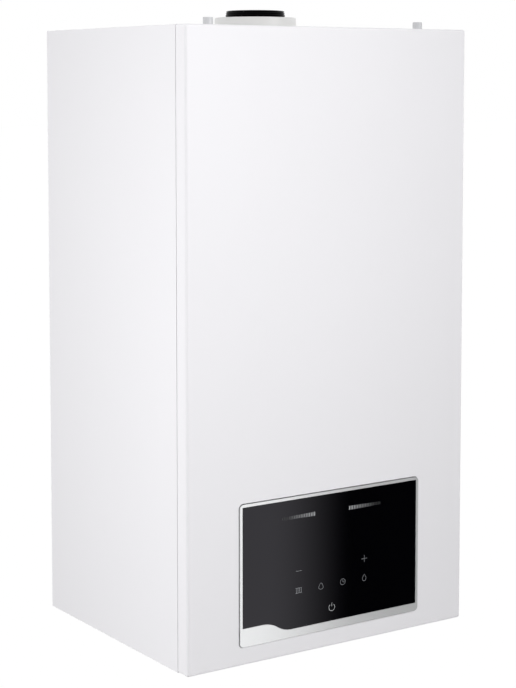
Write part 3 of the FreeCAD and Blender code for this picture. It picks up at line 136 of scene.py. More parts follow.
class FlueSizes(bpy.types.PropertyGroup):
    seal_ribs: IntProperty(name="Ribs", description="Ribs round the flue seal", default=4, min=1)
    seal_taper: length("Taper", 1.6, "How much the seal narrows to its top")
    seal_depth: length("Rib depth", 0.9, "How deep the grooves between ribs are")
    seal_wall: length("Wall", 6.9, "From the seal's bore to its outside")
    seal_edge: length("Edge", 0.8, "Height of the plain edges below and above the ribs")


class FastenerSizes(bpy.types.PropertyGroup):
    screw_head: length("Screw head", 3.6, "Radius of the screw heads")
    screw_rise: length("Screw rise", 2.4, "Height of the screw heads")
    rivet_head: length("Rivet head", 3.2, "Radius of the blind rivets")
    nut_flats: length("Union nut", 27.0, "Across the flats of the union nuts")
    nut_height: length("Nut height", 15.0, "Length of the union nuts")
    nut_bore: length("Nut bore", 9.3, "Radius of the hole in a union nut")
    nut_bevel: length("Nut bevel", 1.2, "Bevel at both ends of a union nut")


class PressingSizes(bpy.types.PropertyGroup):
    bead_length: length("Bead length", 420.0, "Beads pressed in the back plate")
    bead_width: length("Bead width", 20.0, "Width of a bead at its foot")
    bead_rise: length("Bead rise", 2.4, "How far a bead stands out")
    rib_count: IntProperty(name="Ribs", description="Ribs on the back of the control tray",
                           default=11, min=2)
    rib_pitch: length("Rib pitch", 27.0, "From one rib to the next")
    rib_width: length("Rib width", 2.4, "Thickness of a rib")
    rib_rise: length("Rib rise", 2.2, "How far a rib stands out")
    rib_inset: length("Rib inset", 22.0, "From the ends of the ribs to the tray's edge")


def bare(name):
    """A new material with an empty node tree."""
    material = bpy.data.materials.new(name)
    material.use_nodes = True
    material.node_tree.nodes.clear()
    return material, material.node_tree


def begin(name):
    """A new material with its shader, and the Object coordinates that its patterns read."""
    material, tree = bare(name)
    shader = add(tree, "ShaderNodeBsdfPrincipled")
    add(tree, "ShaderNodeOutputMaterial", {"Surface": shader.outputs["BSDF"]})
    place = add(tree, "ShaderNodeTexCoord").outputs["Object"]
    return material, tree, shader, place


def shade(base, factor):
    """The same colour, darker by a factor."""
    return (*[c * factor for c in base[:3]], 1.0)


def finish(name, base, dark=0.9, rough=(0.4, 0.5), cloud_mm=40, grain_mm=1.0, depth_mm=0.02,
           stretch=(1, 1, 1), **constant):
    """A surface with slow changes of tone and gloss, and a fine grain that lifts it."""
    material, tree, shader, place = begin(name)
    drawn = add(tree, "ShaderNodeMapping", {"Vector": place, "Scale": stretch}).outputs["Vector"]
    cloud = add(tree, "ShaderNodeTexNoise",
                {"Vector": drawn, "Scale": per_metre(cloud_mm), "Detail": 3.0}).outputs["Fac"]
    grain = add(tree, "ShaderNodeTexNoise",
                {"Vector": drawn, "Scale": per_metre(grain_mm), "Detail": 2.0}).outputs["Fac"]
    tone = add(tree, "ShaderNodeMix",
               {MIX_FACTOR: cloud, MIX_FIRST: shade(base, dark), MIX_SECOND: base}, data_type="RGBA")
    gloss = add(tree, "ShaderNodeMapRange", {"Value": cloud, "To Min": rough[0], "To Max": rough[1]})
    lift = add(tree, "ShaderNodeBump", {"Strength": 1.0, "Distance": depth_mm * MM, "Height": grain})
    tree.links.new(tone.outputs[MIX_RESULT], shader.inputs["Base Color"])
    tree.links.new(gloss.outputs["Result"], shader.inputs["Roughness"])
    tree.links.new(lift.outputs["Normal"], shader.inputs["Normal"])
    for socket, value in constant.items():
        shader.inputs[socket.replace("_", " ")].default_value = value
    return material


def spangled(name, dull, bright, cell_mm, rough, metallic):
    """Zinc crystals a few millimetres across, each with its own shade and gloss."""
    material, tree, shader, place = begin(name)
    cells = add(tree, "ShaderNodeTexVoronoi", {"Vector": place, "Scale": per_metre(cell_mm)})
    pick = add(tree, "ShaderNodeSeparateColor", {"Color": cells.outputs["Color"]}).outputs
    tone = add(tree, "ShaderNodeMix",
               {MIX_FACTOR: pick["Red"], MIX_FIRST: dull, MIX_SECOND: bright}, data_type="RGBA")
    gloss = add(tree, "ShaderNodeMapRange",
                {"Value": pick["Green"], "To Min": rough[0], "To Max": rough[1]})
    tree.links.new(tone.outputs[MIX_RESULT], shader.inputs["Base Color"])
    tree.links.new(gloss.outputs["Result"], shader.inputs["Roughness"])
    shader.inputs["Metallic"].default_value = metallic
    return material


def etched_board(name, mask, track, pitch_mm, track_share=0.06, darker=0.8, rough=0.35):
    """Solder mask over straight copper tracks, which show as paler lines."""
    material, tree, shader, place = begin(name)
    turned = add(tree, "ShaderNodeMapping", {"Vector": place, "Rotation": (math.pi / 2, 0, 0)})
    tracks = add(tree, "ShaderNodeTexBrick",
                 {"Vector": turned.outputs["Vector"], "Scale": per_metre(pitch_mm), "Color1": mask,
                  "Color2": shade(mask, darker), "Mortar": track, "Mortar Size": track_share})
    tree.links.new(tracks.outputs["Color"], shader.inputs["Base Color"])
    shader.inputs["Roughness"].default_value = rough
    return material


def fading_ink(name, ink, start, end, last_tone=0.07, rough=0.3):
    """Screen print that fades out sideways between two distances from the middle of the panel."""
    material, tree, shader, place = begin(name)
    across = add(tree, "ShaderNodeSeparateXYZ", {"Vector": place}).outputs["X"]
    away = add(tree, "ShaderNodeMath", {0: across}, operation="ABSOLUTE").outputs["Value"]
    fade = add(tree, "ShaderNodeMapRange", {"Value": away, "From Min": start, "From Max": end})
    tone = add(tree, "ShaderNodeMix",
               {MIX_FACTOR: fade.outputs["Result"], MIX_FIRST: ink, MIX_SECOND: shade(ink, last_tone)},
               data_type="RGBA")
    tree.links.new(tone.outputs[MIX_RESULT], shader.inputs["Base Color"])
    shader.inputs["Roughness"].default_value = rough
    return material


def make_finishes(looks):
    # Powder coat on steel sheet: even satin white with the faint orange peel of the oven
    finish("white_powder_coat", looks.paint, dark=0.985, rough=(0.3, 0.38), cloud_mm=160, grain_mm=2.5,
           depth_mm=0.006, IOR=1.5, Specular_IOR_Level=0.2)
    # Hot-dip galvanised sheet: pale grey with a faint pattern of zinc crystals
    spangled("galvanised_sheet", linear("ABAFB2"), linear("BCC0C3"), cell_mm=8, rough=(0.34, 0.5),
             metallic=0.4)
    # Rolled stainless sheet: fine lines along the rolling direction
    finish("rolled_stainless", linear("B9B8B5"), dark=0.88, rough=(0.24, 0.38), cloud_mm=6,
           grain_mm=0.5, depth_mm=0.006, stretch=(1, 1, 0.05), Metallic=1.0)
    # Bright zinc plate: smooth, pale and a little blue
    finish("bright_zinc", linear("CBCCCE"), dark=0.95, rough=(0.45, 0.56), cloud_mm=5, grain_mm=0.5,
           depth_mm=0.004, Metallic=0.15)
    # Sand-blasted die casting: dull grey skin with a fine grit
    finish("die_cast_aluminium", linear("AEB1B4"), dark=0.86, rough=(0.45, 0.58), cloud_mm=14,
           grain_mm=0.7, depth_mm=0.05, Metallic=0.85)
    # Drawn copper tube: orange metal with darker blotches from handling and solder heat
    finish("drawn_copper", linear("C67C54"), dark=0.62, rough=(0.22, 0.42), cloud_mm=22, grain_mm=0.6,
           depth_mm=0.006, stretch=(1, 1, 0.5), Metallic=1.0)
    # Turned brass: yellow metal with the fine rings of the lathe
    finish("turned_brass", linear("C6A457"), dark=0.82, rough=(0.24, 0.36), cloud_mm=9, grain_mm=0.5,
           depth_mm=0.008, stretch=(0.1, 0.1, 1), Metallic=1.0)
    # Moulded rubber: deep black with a soft sheen and a dusting of talc
    finish("moulded_rubber", linear("141415"), dark=0.75, rough=(0.34, 0.46), cloud_mm=12,
           grain_mm=0.6, depth_mm=0.015)
    # Greased seal rubber: deep black, smoother than the other rubber
    finish("glossy_seal_rubber", linear("040405"), dark=0.8, rough=(0.2, 0.28), cloud_mm=12,
           grain_mm=0.6, depth_mm=0.006, Specular_IOR_Level=0.06)
    # Foam rubber cord: dull black with open pores
    finish("foam_rubber", linear("1B1B1C"), dark=0.6, rough=(0.8, 0.95), cloud_mm=2, grain_mm=0.8,
           depth_mm=0.12)
    # Gloss polypropylene: bright white, smooth from the mould
    finish("gloss_white_polypropylene", looks.collar, dark=0.97, rough=(0.3, 0.38), cloud_mm=30,
           grain_mm=1.5, depth_mm=0.004)
    # Glass-filled polyamide: near black with the fine spark grain of its mould
    finish("grained_black_polyamide", linear("1C1D1F"), dark=0.8, rough=(0.46, 0.58), cloud_mm=24,
           grain_mm=0.8, depth_mm=0.03)
    # Moulded polypropylene: mid grey with a fine spark grain
    finish("grained_grey_polypropylene", linear("8C9095"), dark=0.9, rough=(0.42, 0.52), cloud_mm=30,
           grain_mm=0.8, depth_mm=0.025)
    # Glass-filled composite: charcoal with pale flow marks of the fibres
    finish("fibre_filled_composite", linear("34363A"), dark=0.68, rough=(0.42, 0.6), cloud_mm=10,
           grain_mm=0.6, depth_mm=0.03, stretch=(1, 0.3, 1))
    # Silver paint on a plastic bezel: fine metal flake under a clear coat
    finish("silver_paint_on_abs", looks.silver, dark=0.98, rough=(0.16, 0.22), cloud_mm=1.2,
           grain_mm=0.6, depth_mm=0.003, Metallic=0.5, Coat_Weight=0.4, Coat_Roughness=0.08)
    # Toughened glass printed black behind: deep, mirror smooth, with the faintest smears
    finish("black_backed_glass", looks.glass, dark=0.9, rough=(0.025, 0.05), cloud_mm=60, grain_mm=30,
           depth_mm=0.0, IOR=1.5, Specular_Tint=linear("EFEBF7"))
    # Circuit board: green lacquer with paler tracks under it
    etched_board("solder_mask_board", linear("17552C"), linear("3F7F4B"), pitch_mm=3)
    # Glazed alumina: warm white, like a spark plug
    finish("glazed_ceramic", linear("EFEAE0"), dark=0.95, rough=(0.1, 0.16), cloud_mm=15, grain_mm=1.5,
           depth_mm=0.004)
    # Pressed ceramic fibre: chalky board with a felted surface
    finish("ceramic_fibre_board", linear("E6E0D2"), dark=0.85, rough=(0.85, 0.98), cloud_mm=5,
           grain_mm=0.7, depth_mm=0.15)
    # Moulded ABS: bright red and glossy
    finish("gloss_red_abs", linear("BE1F1A"), dark=0.9, rough=(0.24, 0.32), cloud_mm=20, grain_mm=1.0,
           depth_mm=0.006)
    # Stoved red enamel on a pressed steel vessel
    finish("red_stove_enamel", looks.vessel, dark=0.9, rough=(0.28, 0.38), cloud_mm=60, grain_mm=2.2,
           depth_mm=0.012)
    # Moulded polyamide: strong blue with a fine spark grain
    finish("grained_blue_polyamide", linear("1F4A94"), dark=0.85, rough=(0.4, 0.5), cloud_mm=20,
           grain_mm=0.8, depth_mm=0.025)
    # Screen print on the glass: thin, even grey ink in two strengths
    finish("panel_print", looks.print_ink, dark=0.96, rough=(0.28, 0.34), cloud_mm=10, grain_mm=1.0,
           depth_mm=0.0)
    finish("dim_panel_print", looks.dim_ink, dark=0.96, rough=(0.28, 0.34), cloud_mm=10, grain_mm=1.0,
           depth_mm=0.0)


FINISH_OF_SLOT = {
    "white_paint": "white_powder_coat",
    "galvanised": "galvanised_sheet",
    "stainless": "rolled_stainless",
    "zinc": "bright_zinc",
    "cast_aluminium": "die_cast_aluminium",
    "copper": "drawn_copper",
    "brass": "turned_brass",
    "black_rubber": "moulded_rubber",
    "white_plastic": "gloss_white_polypropylene",
    "black_plastic": "grained_black_polyamide",
    "grey_plastic": "grained_grey_polypropylene",
    "composite": "fibre_filled_composite",
    "silver_plastic": "silver_paint_on_abs",
    "touch_glass": "black_backed_glass",
    "circuit_board": "solder_mask_board",
    "ceramic": "glazed_ceramic",
    "fibre": "ceramic_fibre_board",
    "red_plastic": "gloss_red_abs",
    "red_paint": "red_stove_enamel",
    "blue_plastic": "grained_blue_polyamide",
}


def link(name, data):
    """Put a new object in the scene."""
    piece = bpy.data.objects.new(name, data)
    bpy.context.scene.collection.objects.link(piece)
    return piece


def keep(name, data, finish_name, body, replaced=()):
    """Make a finished piece of the boiler, riding on its body."""
    piece = link(name, data)
    if finish_name:
        data.materials.clear()
        data.materials.append(bpy.data.materials[finish_name])
    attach(piece, body)
    if replaced:
        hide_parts(*replaced)
    return piece


def loop(radius, height, sides=0):
    """Points round the Z axis: a circle, or a polygon whose radius is to its flats."""
    points = []
    for n in range(ROUND):
        turn = math.tau * n / ROUND
        reach = radius
        if sides:
            part = math.tau / sides
            reach = radius / math.cos((turn + part / 2) % part - part / 2)
        points.append(Vector((reach * math.cos(turn), reach * math.sin(turn), height)))
    return points


def slot_loop(wide, tall, height):
    """Points round a slot with round ends that lies along Y, at a height on Z."""
    points = []
    for n in range(ROUND):
        turn = math.tau * (n + 0.5) / ROUND
        across, along = math.cos(turn) * wide / 2, math.sin(turn) * wide / 2
        points.append(Vector((across, along + math.copysign((tall - wide) / 2, along), height)))
    return points


def stack(loops, ring=False):
    """A closed skin through loops of points, capped at both ends or joined to a ring."""
    made = bmesh.new()
    rows = [[made.verts.new(point) for point in points] for points in loops]
    pairs = list(zip(rows, rows[1:]))
    if ring:
        pairs.append((rows[-1], rows[0]))
    count = len(rows[0])
    for low, high in pairs:
        for n in range(count):
            after = (n + 1) % count
            made.faces.new((low[n], low[after], high[after], high[n]))
    if not ring:
        made.faces.new(rows[0][::-1])
        made.faces.new(rows[-1])
    return closed(made)


def closed(made, smooth_angle=35):
    """Turn a bmesh into a mesh with outward faces, smooth where it is nearly flat."""
    bmesh.ops.remove_doubles(made, verts=made.verts, dist=WELD)
    bmesh.ops.recalc_face_normals(made, faces=made.faces)
    for face in made.faces:
        face.smooth = True
    for edge in made.edges:
        edge.smooth = edge.calc_face_angle(math.pi) < math.radians(smooth_angle)
    mesh = bpy.data.meshes.new("skin")
    made.to_mesh(mesh)
    made.free()
    return mesh


def moved(mesh, place):
    """Move a mesh's points by a distance."""
    for vertex in mesh.vertices:
        vertex.co += Vector(place)
    return mesh


def bake(tree, mesh, values):
    """Run a node tree on a mesh and return what it makes as a plain mesh."""
    holder = link("holder", mesh)
    modifier = holder.modifiers.new("make", "NODES")
    modifier.node_group = tree
    for item in tree.interface.items_tree:
        if item.item_type == "SOCKET" and item.in_out == "INPUT" and item.name in values:
            modifier[item.identifier] = values[item.name]
    graph = bpy.context.evaluated_depsgraph_get()
    made = bpy.data.meshes.new_from_object(holder.evaluated_get(graph), depsgraph=graph)
    holder.modifiers.clear()
    bpy.data.objects.remove(holder)
    return made


def new_tree(name, sockets):
    """A geometry node tree with its named inputs and one geometry output."""
    tree = bpy.data.node_groups.new(name, "GeometryNodeTree")
    tree.interface.new_socket("Geometry", in_out="INPUT", socket_type="NodeSocketGeometry")
    for label, kind in sockets.items():
        tree.interface.new_socket(label, in_out="INPUT", socket_type=kind)
    tree.interface.new_socket("Geometry", in_out="OUTPUT", socket_type="NodeSocketGeometry")
    return tree, add(tree, "NodeGroupInput").outputs


def end_tree(tree, instances, material):
    """Make a tree's instances real, give them their finish and put them out."""
    whole = add(tree, "GeometryNodeRealizeInstances", {"Geometry": instances})
    coated = add(tree, "GeometryNodeSetMaterial",
                 {"Geometry": whole.outputs["Geometry"], "Material": material})
    add(tree, "NodeGroupOutput", {"Geometry": coated.outputs["Geometry"]})
    return tree


def places_tree():
    """One shape at each point of a mesh, standing along the point's facing."""
    tree, given = new_tree("Shape in its places", {
        "Shape": "NodeSocketObject", "Finish": "NodeSocketMaterial"})
    shape = add(tree, "GeometryNodeObjectInfo", {"Object": given["Shape"]})
    facing = add(tree, "GeometryNodeInputNamedAttribute", {"Name": "facing"},
                 data_type="FLOAT_VECTOR")
    turned = add(tree, "FunctionNodeAlignRotationToVector",
                 {"Vector": facing.outputs["Attribute"]}, axis="Z")
    copies = add(tree, "GeometryNodeInstanceOnPoints",
                 {"Points": given["Geometry"], "Instance": shape.outputs["Geometry"],
                  "Rotation": turned.outputs["Rotation"]})
    return end_tree(tree, copies.outputs["Instances"], given["Finish"])


def tick_tree():
    """A row of upright ticks that shrink away from the first one."""
    tree, given = new_tree("Row of ticks", {
        "Count": "NodeSocketInt", "First": "NodeSocketVector", "Step": "NodeSocketVector",
        "Tick": "NodeSocketVector", "Last share": "NodeSocketFloat", "Finish": "NodeSocketMaterial"})
    row = add(tree, "GeometryNodeMeshLine",
              {"Count": given["Count"], "Start Location": given["First"], "Offset": given["Step"]})
    tick = add(tree, "GeometryNodeMeshCube", {"Size": given["Tick"]})
    order = add(tree, "GeometryNodeInputIndex").outputs["Index"]
    share = add(tree, "ShaderNodeMapRange",
                {"Value": order, "From Max": given["Count"], "To Min": 1.0, "To Max": given["Last share"]})
    scale = add(tree, "ShaderNodeCombineXYZ", {"X": 1.0, "Y": 1.0, "Z": share.outputs["Result"]})
    copies = add(tree, "GeometryNodeInstanceOnPoints",
                 {"Points": row.outputs["Mesh"], "Instance": tick.outputs["Mesh"],
                  "Scale": scale.outputs["Vector"]})
    return end_tree(tree, copies.outputs["Instances"], given["Finish"])


def strip_tree():
    """A round strip along the edges of a mesh, with rounded corners."""
    tree, given = new_tree("Strip along a path", {
        "Radius": "NodeSocketFloat", "Corner": "NodeSocketFloat", "Finish": "NodeSocketMaterial"})
    path = add(tree, "GeometryNodeMeshToCurve", {"Mesh": given["Geometry"]})
    bent = add(tree, "GeometryNodeFilletCurve",
               {"Curve": path.outputs["Curve"], "Count": CORNER_STEPS, "Radius": given["Corner"]},
               mode="POLY")
    section = add(tree, "GeometryNodeCurvePrimitiveCircle",
                  {"Resolution": STRIP_SIDES, "Radius": given["Radius"]})
    strip = add(tree, "GeometryNodeCurveToMesh",
                {"Curve": bent.outputs["Curve"], "Profile Curve": section.outputs["Curve"],
                 "Fill Caps": True})
    return end_tree(tree, strip.outputs["Mesh"], given["Finish"])


def in_places(name, shape, spots, finish_name, body):
    """Repeat a shape at (place, facing) spots, in millimetres, as one piece."""
    points = bpy.data.meshes.new("spots")
    points.from_pydata([Vector(place) * MM for place, facing in spots], [], [])
    facings = points.attributes.new("facing", "FLOAT_VECTOR", "POINT")
    for entry, (place, facing) in zip(facings.data, spots):
        entry.vector = facing
    model = link("model", shape)
    tree = bpy.data.node_groups.get("Shape in its places") or places_tree()
    mesh = bake(tree, points, {"Shape": model, "Finish": bpy.data.materials[finish_name]})
    bpy.data.objects.remove(model)
    return keep(name, mesh, None, body)


def ring_of(centre, radius, count, start, facing, flat):
    """Spots on a circle about a point, in the plane across the facing."""
    spots = []
    for n in range(count):
        turn = start + math.tau * n / count
        across, up = radius * math.cos(turn), radius * math.sin(turn)
        offset = (across, 0, up) if flat == "XZ" else (across, up, 0)
        spots.append((tuple(c + o for c, o in zip(centre, offset)), facing))
    return spots


def grid_of(across, out, up, facing):
    """Spots where columns and rows cross, at one distance from the wall."""
    return [((x, out, z), facing) for x in across for z in up]


def turned_piece(loops, radius, height):
    """A closed shape from loops with their radius and height, in the units given, and their sides."""
    return stack([loop(radius * wide, height * up, sides) for wide, up, sides in loops])


class BOILER_OT_finishes(bpy.types.Operator):
    """Make the boiler's finishes and give each solid its own"""
    bl_idname = "boiler.finishes"
    bl_label = "Finishes"

    def execute(self, context):
        make_finishes(context.scene.boiler_casing)
        for part in frame["record"]["subparts"]:
            data = frame["nodes"][part["node"]].data
            data.materials.clear()
            data.materials.append(bpy.data.materials[FINISH_OF_SLOT[part["material_slot"]]])
        return {"FINISHED"}


# Steps along each rib of the flue seal
RIB_STEPS = 4


class BOILER_OT_flue_seal(bpy.types.Operator):
    """Make the ribbed rubber seal that stands in the flue collar"""
    bl_idname = "boiler.flue_seal"
    bl_label = "Flue seal"

    def execute(self, context):
        sizes = context.scene.boiler_flue
        low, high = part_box("flue_seal")
        outer, tall = (high.x - low.x) / 2, high.z - low.z
        bore, edge = outer - sizes.seal_wall, sizes.seal_edge
        steps = sizes.seal_ribs * RIB_STEPS
        profile = [(bore, 0.0), (outer - edge, 0.0)]
        for n in range(steps + 1):
            share = n / steps
            groove = sizes.seal_depth * (1 - math.cos(share * sizes.seal_ribs * math.tau)) / 2
            profile.append((outer - sizes.seal_taper * share - groove, edge + (tall - edge * 2) * share))
        profile += [(outer - sizes.seal_taper - edge * 2, tall), (bore + edge, tall),
                    (bore, tall - edge * 2)]
        turns = [math.tau * n / LARGE_ROUND for n in range(LARGE_ROUND)]
        mesh = stack([[Vector((r * math.cos(turn), r * math.sin(turn), z)) for turn in turns]
                      for r, z in profile], ring=True)
        moved(mesh, ((low.x + high.x) / 2, (low.y + high.y) / 2, low.z))
        keep("ribbed_flue_seal", mesh, "glossy_seal_rubber", "chassis", ["flue_seal"])
        return {"FINISHED"}


# Corner of the foam cord, in radii of the cord
FOAM_BEND = 4


class BOILER_OT_cover_seal(bpy.types.Operator):
    """Lay the foam cord that seals the cover to the casing"""
    bl_idname = "boiler.cover_seal"
    bl_label = "Cover seal"

    def execute(self, context):
        low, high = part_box("cover_seal")
        radius = (high.y - low.y) / 2
        y = (low.y + high.y) / 2
        side, top = high.x - radius, high.z - radius
        path = bpy.data.meshes.new("path")
        path.from_pydata([(-side, y, low.z), (-side, y, top), (side, y, top), (side, y, low.z)],
                         [(0, 1), (1, 2), (2, 3)], [])
        mesh = bake(strip_tree(), path, {"Radius": radius, "Corner": radius * FOAM_BEND,
                                         "Finish": bpy.data.materials["foam_rubber"]})
        keep("foam_cover_seal", mesh, None, "chassis", ["cover_seal"])
        return {"FINISHED"}


# Places on the touch panel in millimetres: out from its middle line, and up from the cover's lower edge
KEYS_OUT, KEYS_IN, KEYS_UP = 48, 16, 75.5
SIGNS_UP, STANDBY_UP, TICKS_UP = 98.7, 47.3, 163.3

# Share of a tick row over which its print fades
FADE_SHARE = 0.8

# Standby sign: half of its gap in degrees; its bar's middle and length as shares of the sign's width
STANDBY_GAP, STANDBY_BAR_UP, STANDBY_BAR = 38, 0.4, 0.5

# Pictograms in millimetres, with their tapers as shares and the radiator's stroke in line widths
RADIATOR_COLUMNS, RADIATOR_PITCH, RADIATOR_TALL, RADIATOR_STROKE = 4, 2.3, 5.6, 1.4
FLAME_WIDE, FLAME_TALL, FLAME_TAPER = 3.2, 4.0, 0.4
CLOCK_RADIUS, CLOCK_HAND = 3.8, 2.4
DROP_WIDE, DROP_TALL, DROP_TAPER, DROP_TIP = 3.3, 4.2, 0.5, 0.45


class PanelDrawing:
    """Flat shapes in the plane of the touch glass, in millimetres from the panel's middle."""

    thickness = 0.06 * MM

    def __init__(self):
        self.made = bmesh.new()

    def shape(self, points):
        self.made.faces.new([self.made.verts.new((x * MM, 0, z * MM)) for x, z in points])

    def bar(self, x, z, wide, tall, turn=0.0):
        signs = ((-1, -1), (1, -1), (1, 1), (-1, 1))
        corners = [(a * wide / 2, b * tall / 2) for a, b in signs]
        c, s = math.cos(turn), math.sin(turn)
        self.shape([(x + a * c - b * s, z + a * s + b * c) for a, b in corners])

    def arc(self, x, z, radius, stroke, start=0.0, end=math.tau):
        outer, inner = radius + stroke / 2, radius - stroke / 2
        for n in range(ROUND):
            first, last = [start + (end - start) * (n + k) / ROUND for k in (0, 1)]
            spots = [(outer, first), (outer, last), (inner, last), (inner, first)]
            self.shape([(x + r * math.cos(t), z + r * math.sin(t)) for r, t in spots])

    def outline(self, x, z, stroke, curve):
        """A closed line along a curve, which gives offsets from x, z at angles round it."""
        spots = [Vector(curve(math.tau * n / ROUND)) for n in range(ROUND)]
        inner = [spot - spot.normalized() * stroke for spot in spots]
        for n in range(ROUND):
            after = (n + 1) % ROUND
            band = (spots[n], spots[after], inner[after], inner[n])
            self.shape([(x + p.x, z + p.y) for p in band])

    def mesh(self, x, y, z):
        """The drawing with the thickness of its print, moved to its place."""
        bmesh.ops.remove_doubles(self.made, verts=self.made.verts, dist=WELD)
        raised = bmesh.ops.extrude_face_region(self.made, geom=self.made.faces[:])["geom"]
        points = [item for item in raised if isinstance(item, bmesh.types.BMVert)]
        bmesh.ops.translate(self.made, verts=points, vec=(0, self.thickness, 0))
        return moved(closed(self.made), (x, y, z))


class BOILER_OT_panel_marks(bpy.types.Operator):
    """Print the ticks, signs and pictograms on the touch glass"""
    bl_idname = "boiler.panel_marks"
    bl_label = "Panel marks"

    def execute(self, context):
        sizes = context.scene.boiler_panel
        low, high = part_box("touch_glass")
        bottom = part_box("front_cover")[0].z
        y = low.y - PanelDrawing.thickness / 2
        fade = sizes.tick_pitch * sizes.tick_count * FADE_SHARE
        fading_ink("fading_panel_print", context.scene.boiler_casing.print_ink, sizes.tick_start,
                   sizes.tick_start + fade)
        rows = tick_tree()
        for side, name in ((-1, "left_tick_row"), (1, "right_tick_row")):
            mesh = bake(rows, bpy.data.meshes.new("none"), {
                "Count": sizes.tick_count, "Last share": sizes.tick_last,
                "First": (side * sizes.tick_start, y, bottom + TICKS_UP * MM),
                "Step": (side * sizes.tick_pitch, 0, 0),
                "Tick": (sizes.tick_width, PanelDrawing.thickness, sizes.tick_height),
                "Finish": bpy.data.materials["fading_panel_print"]})
            keep(name, mesh, None, "control_box")
        self.signs(sizes, (0, y - PanelDrawing.thickness / 2, bottom))
        return {"FINISHED"}

    def signs(self, sizes, origin):
        """Draw the standby sign, the plus and minus, and the four pictograms."""
        wide, line = sizes.sign / MM, sizes.stroke / MM
        standby = PanelDrawing()
        top, gap = math.pi / 2, math.radians(STANDBY_GAP)
        standby.arc(0, STANDBY_UP, wide / 2, line, top + gap, top + math.tau - gap)
        standby.bar(0, STANDBY_UP + wide * STANDBY_BAR_UP, line, wide * STANDBY_BAR)
        keep("standby_sign", standby.mesh(*origin), "panel_print", "control_box")
        signs = PanelDrawing()
        arm = wide / 2 - line / 2
        signs.bar(-KEYS_OUT, SIGNS_UP, wide, line)
        signs.bar(KEYS_OUT, SIGNS_UP, wide, line)
        for side in (-1, 1):
            signs.bar(KEYS_OUT, SIGNS_UP + side * (line + arm) / 2, line, arm)
        keep("plus_and_minus", signs.mesh(*origin), "dim_panel_print", "control_box")
        icons = PanelDrawing()
        self.radiator(icons, line)
        icons.outline(-KEYS_IN, KEYS_UP, line, self.flame)
        icons.outline(KEYS_IN, KEYS_UP, line, self.clock)
        icons.bar(KEYS_IN, KEYS_UP + CLOCK_HAND / 2, line, CLOCK_HAND)
        icons.bar(KEYS_IN + CLOCK_HAND / 2, KEYS_UP - line / 2, CLOCK_HAND, line)
        icons.outline(KEYS_OUT, KEYS_UP, line, self.drop)
        keep("touch_pictograms", icons.mesh(*origin), "dim_panel_print", "control_box")

    def radiator(self, icons, line):
        for n in range(RADIATOR_COLUMNS):
            across = (n - (RADIATOR_COLUMNS - 1) / 2) * RADIATOR_PITCH
            icons.bar(-KEYS_OUT + across, KEYS_UP, line * RADIATOR_STROKE, RADIATOR_TALL)
        for side in (-1, 1):
            icons.bar(-KEYS_OUT, KEYS_UP + side * (RADIATOR_TALL + line) / 2,
                      RADIATOR_COLUMNS * RADIATOR_PITCH, line)

    def flame(self, turn):
        narrow = 1 - FLAME_TAPER * math.sin(turn)
        return FLAME_WIDE * math.cos(turn) * narrow, FLAME_TALL * math.sin(turn)

    def clock(self, turn):
        return CLOCK_RADIUS * math.cos(turn), CLOCK_RADIUS * math.sin(turn)

    def drop(self, turn):
        around = turn + math.pi / 2
        up = math.sin(around)
        narrow = 1 - DROP_TAPER * (1 + up) ** 2 / 4
        tip = 1 - DROP_TIP * max(up, 0)
        return DROP_WIDE * math.cos(around) * narrow * tip, DROP_TALL * up


# Routes and radii in millimetres
HOSES = {
    "ignition_lead": {
        "route": [(45, -39, 25), (45, -199, 29), (45, -241, 21), (45, -243, -22), (45, -243, -58)],
        "radius": 3.0, "stiffness": "medium", "lay": "hanging"},
    "vessel_hose": {
        "route": [(-141.7, -68.5, -393), (-141.7, -68.5, -417), (0, -68.5, -429), (152, -68.5, -417),
                  (152, -68.5, -539.5)],
        "radius": 8.0, "stiffness": "stiff", "lay": "hanging"},
    "condensate_hose": {
        "route": [(0, -194, -249), (0, -194, -313), (-14, -205, -377.5), (-14, -205, -425.5)],
        "radius": 8.0, "stiffness": "stiff", "lay": "hanging"},
}


# Spring clips in millimetres: bore radius, width, sheet, and how far in from the hose's end
CLIP_BORE, CLIP_WIDE, CLIP_SHEET, CLIP_INSET = 8.1, 9, 0.9, 8

# Steps round a quarter of a hose
HOSE_STEPS = 6


def drawn(route):
    """The mesh that a curve gives as it now stands."""
    graph = bpy.context.evaluated_depsgraph_get()
    return bpy.data.meshes.new_from_object(route.evaluated_get(graph), depsgraph=graph)


def run_of(facts):
    """A smooth tube along a route, and the points of its middle line."""
    curve = bpy.data.curves.new("route", "CURVE")
    curve.dimensions = "3D"
    curve.resolution_u = ROUND
    spline = curve.splines.new("NURBS")
    spline.points.add(len(facts["route"]) - 1)
    for point, spot in zip(spline.points, facts["route"]):
        point.co = (*[c * MM for c in spot], 1)
    spline.order_u = 3
    spline.use_endpoint_u = True
    route = link("route", curve)
    line = [vertex.co.copy() for vertex in drawn(route).vertices]
    curve.bevel_depth = facts["radius"] * MM
    curve.bevel_resolution = HOSE_STEPS
    curve.use_fill_caps = True
    tube = drawn(route)
    bpy.data.objects.remove(route)
    return tube, line


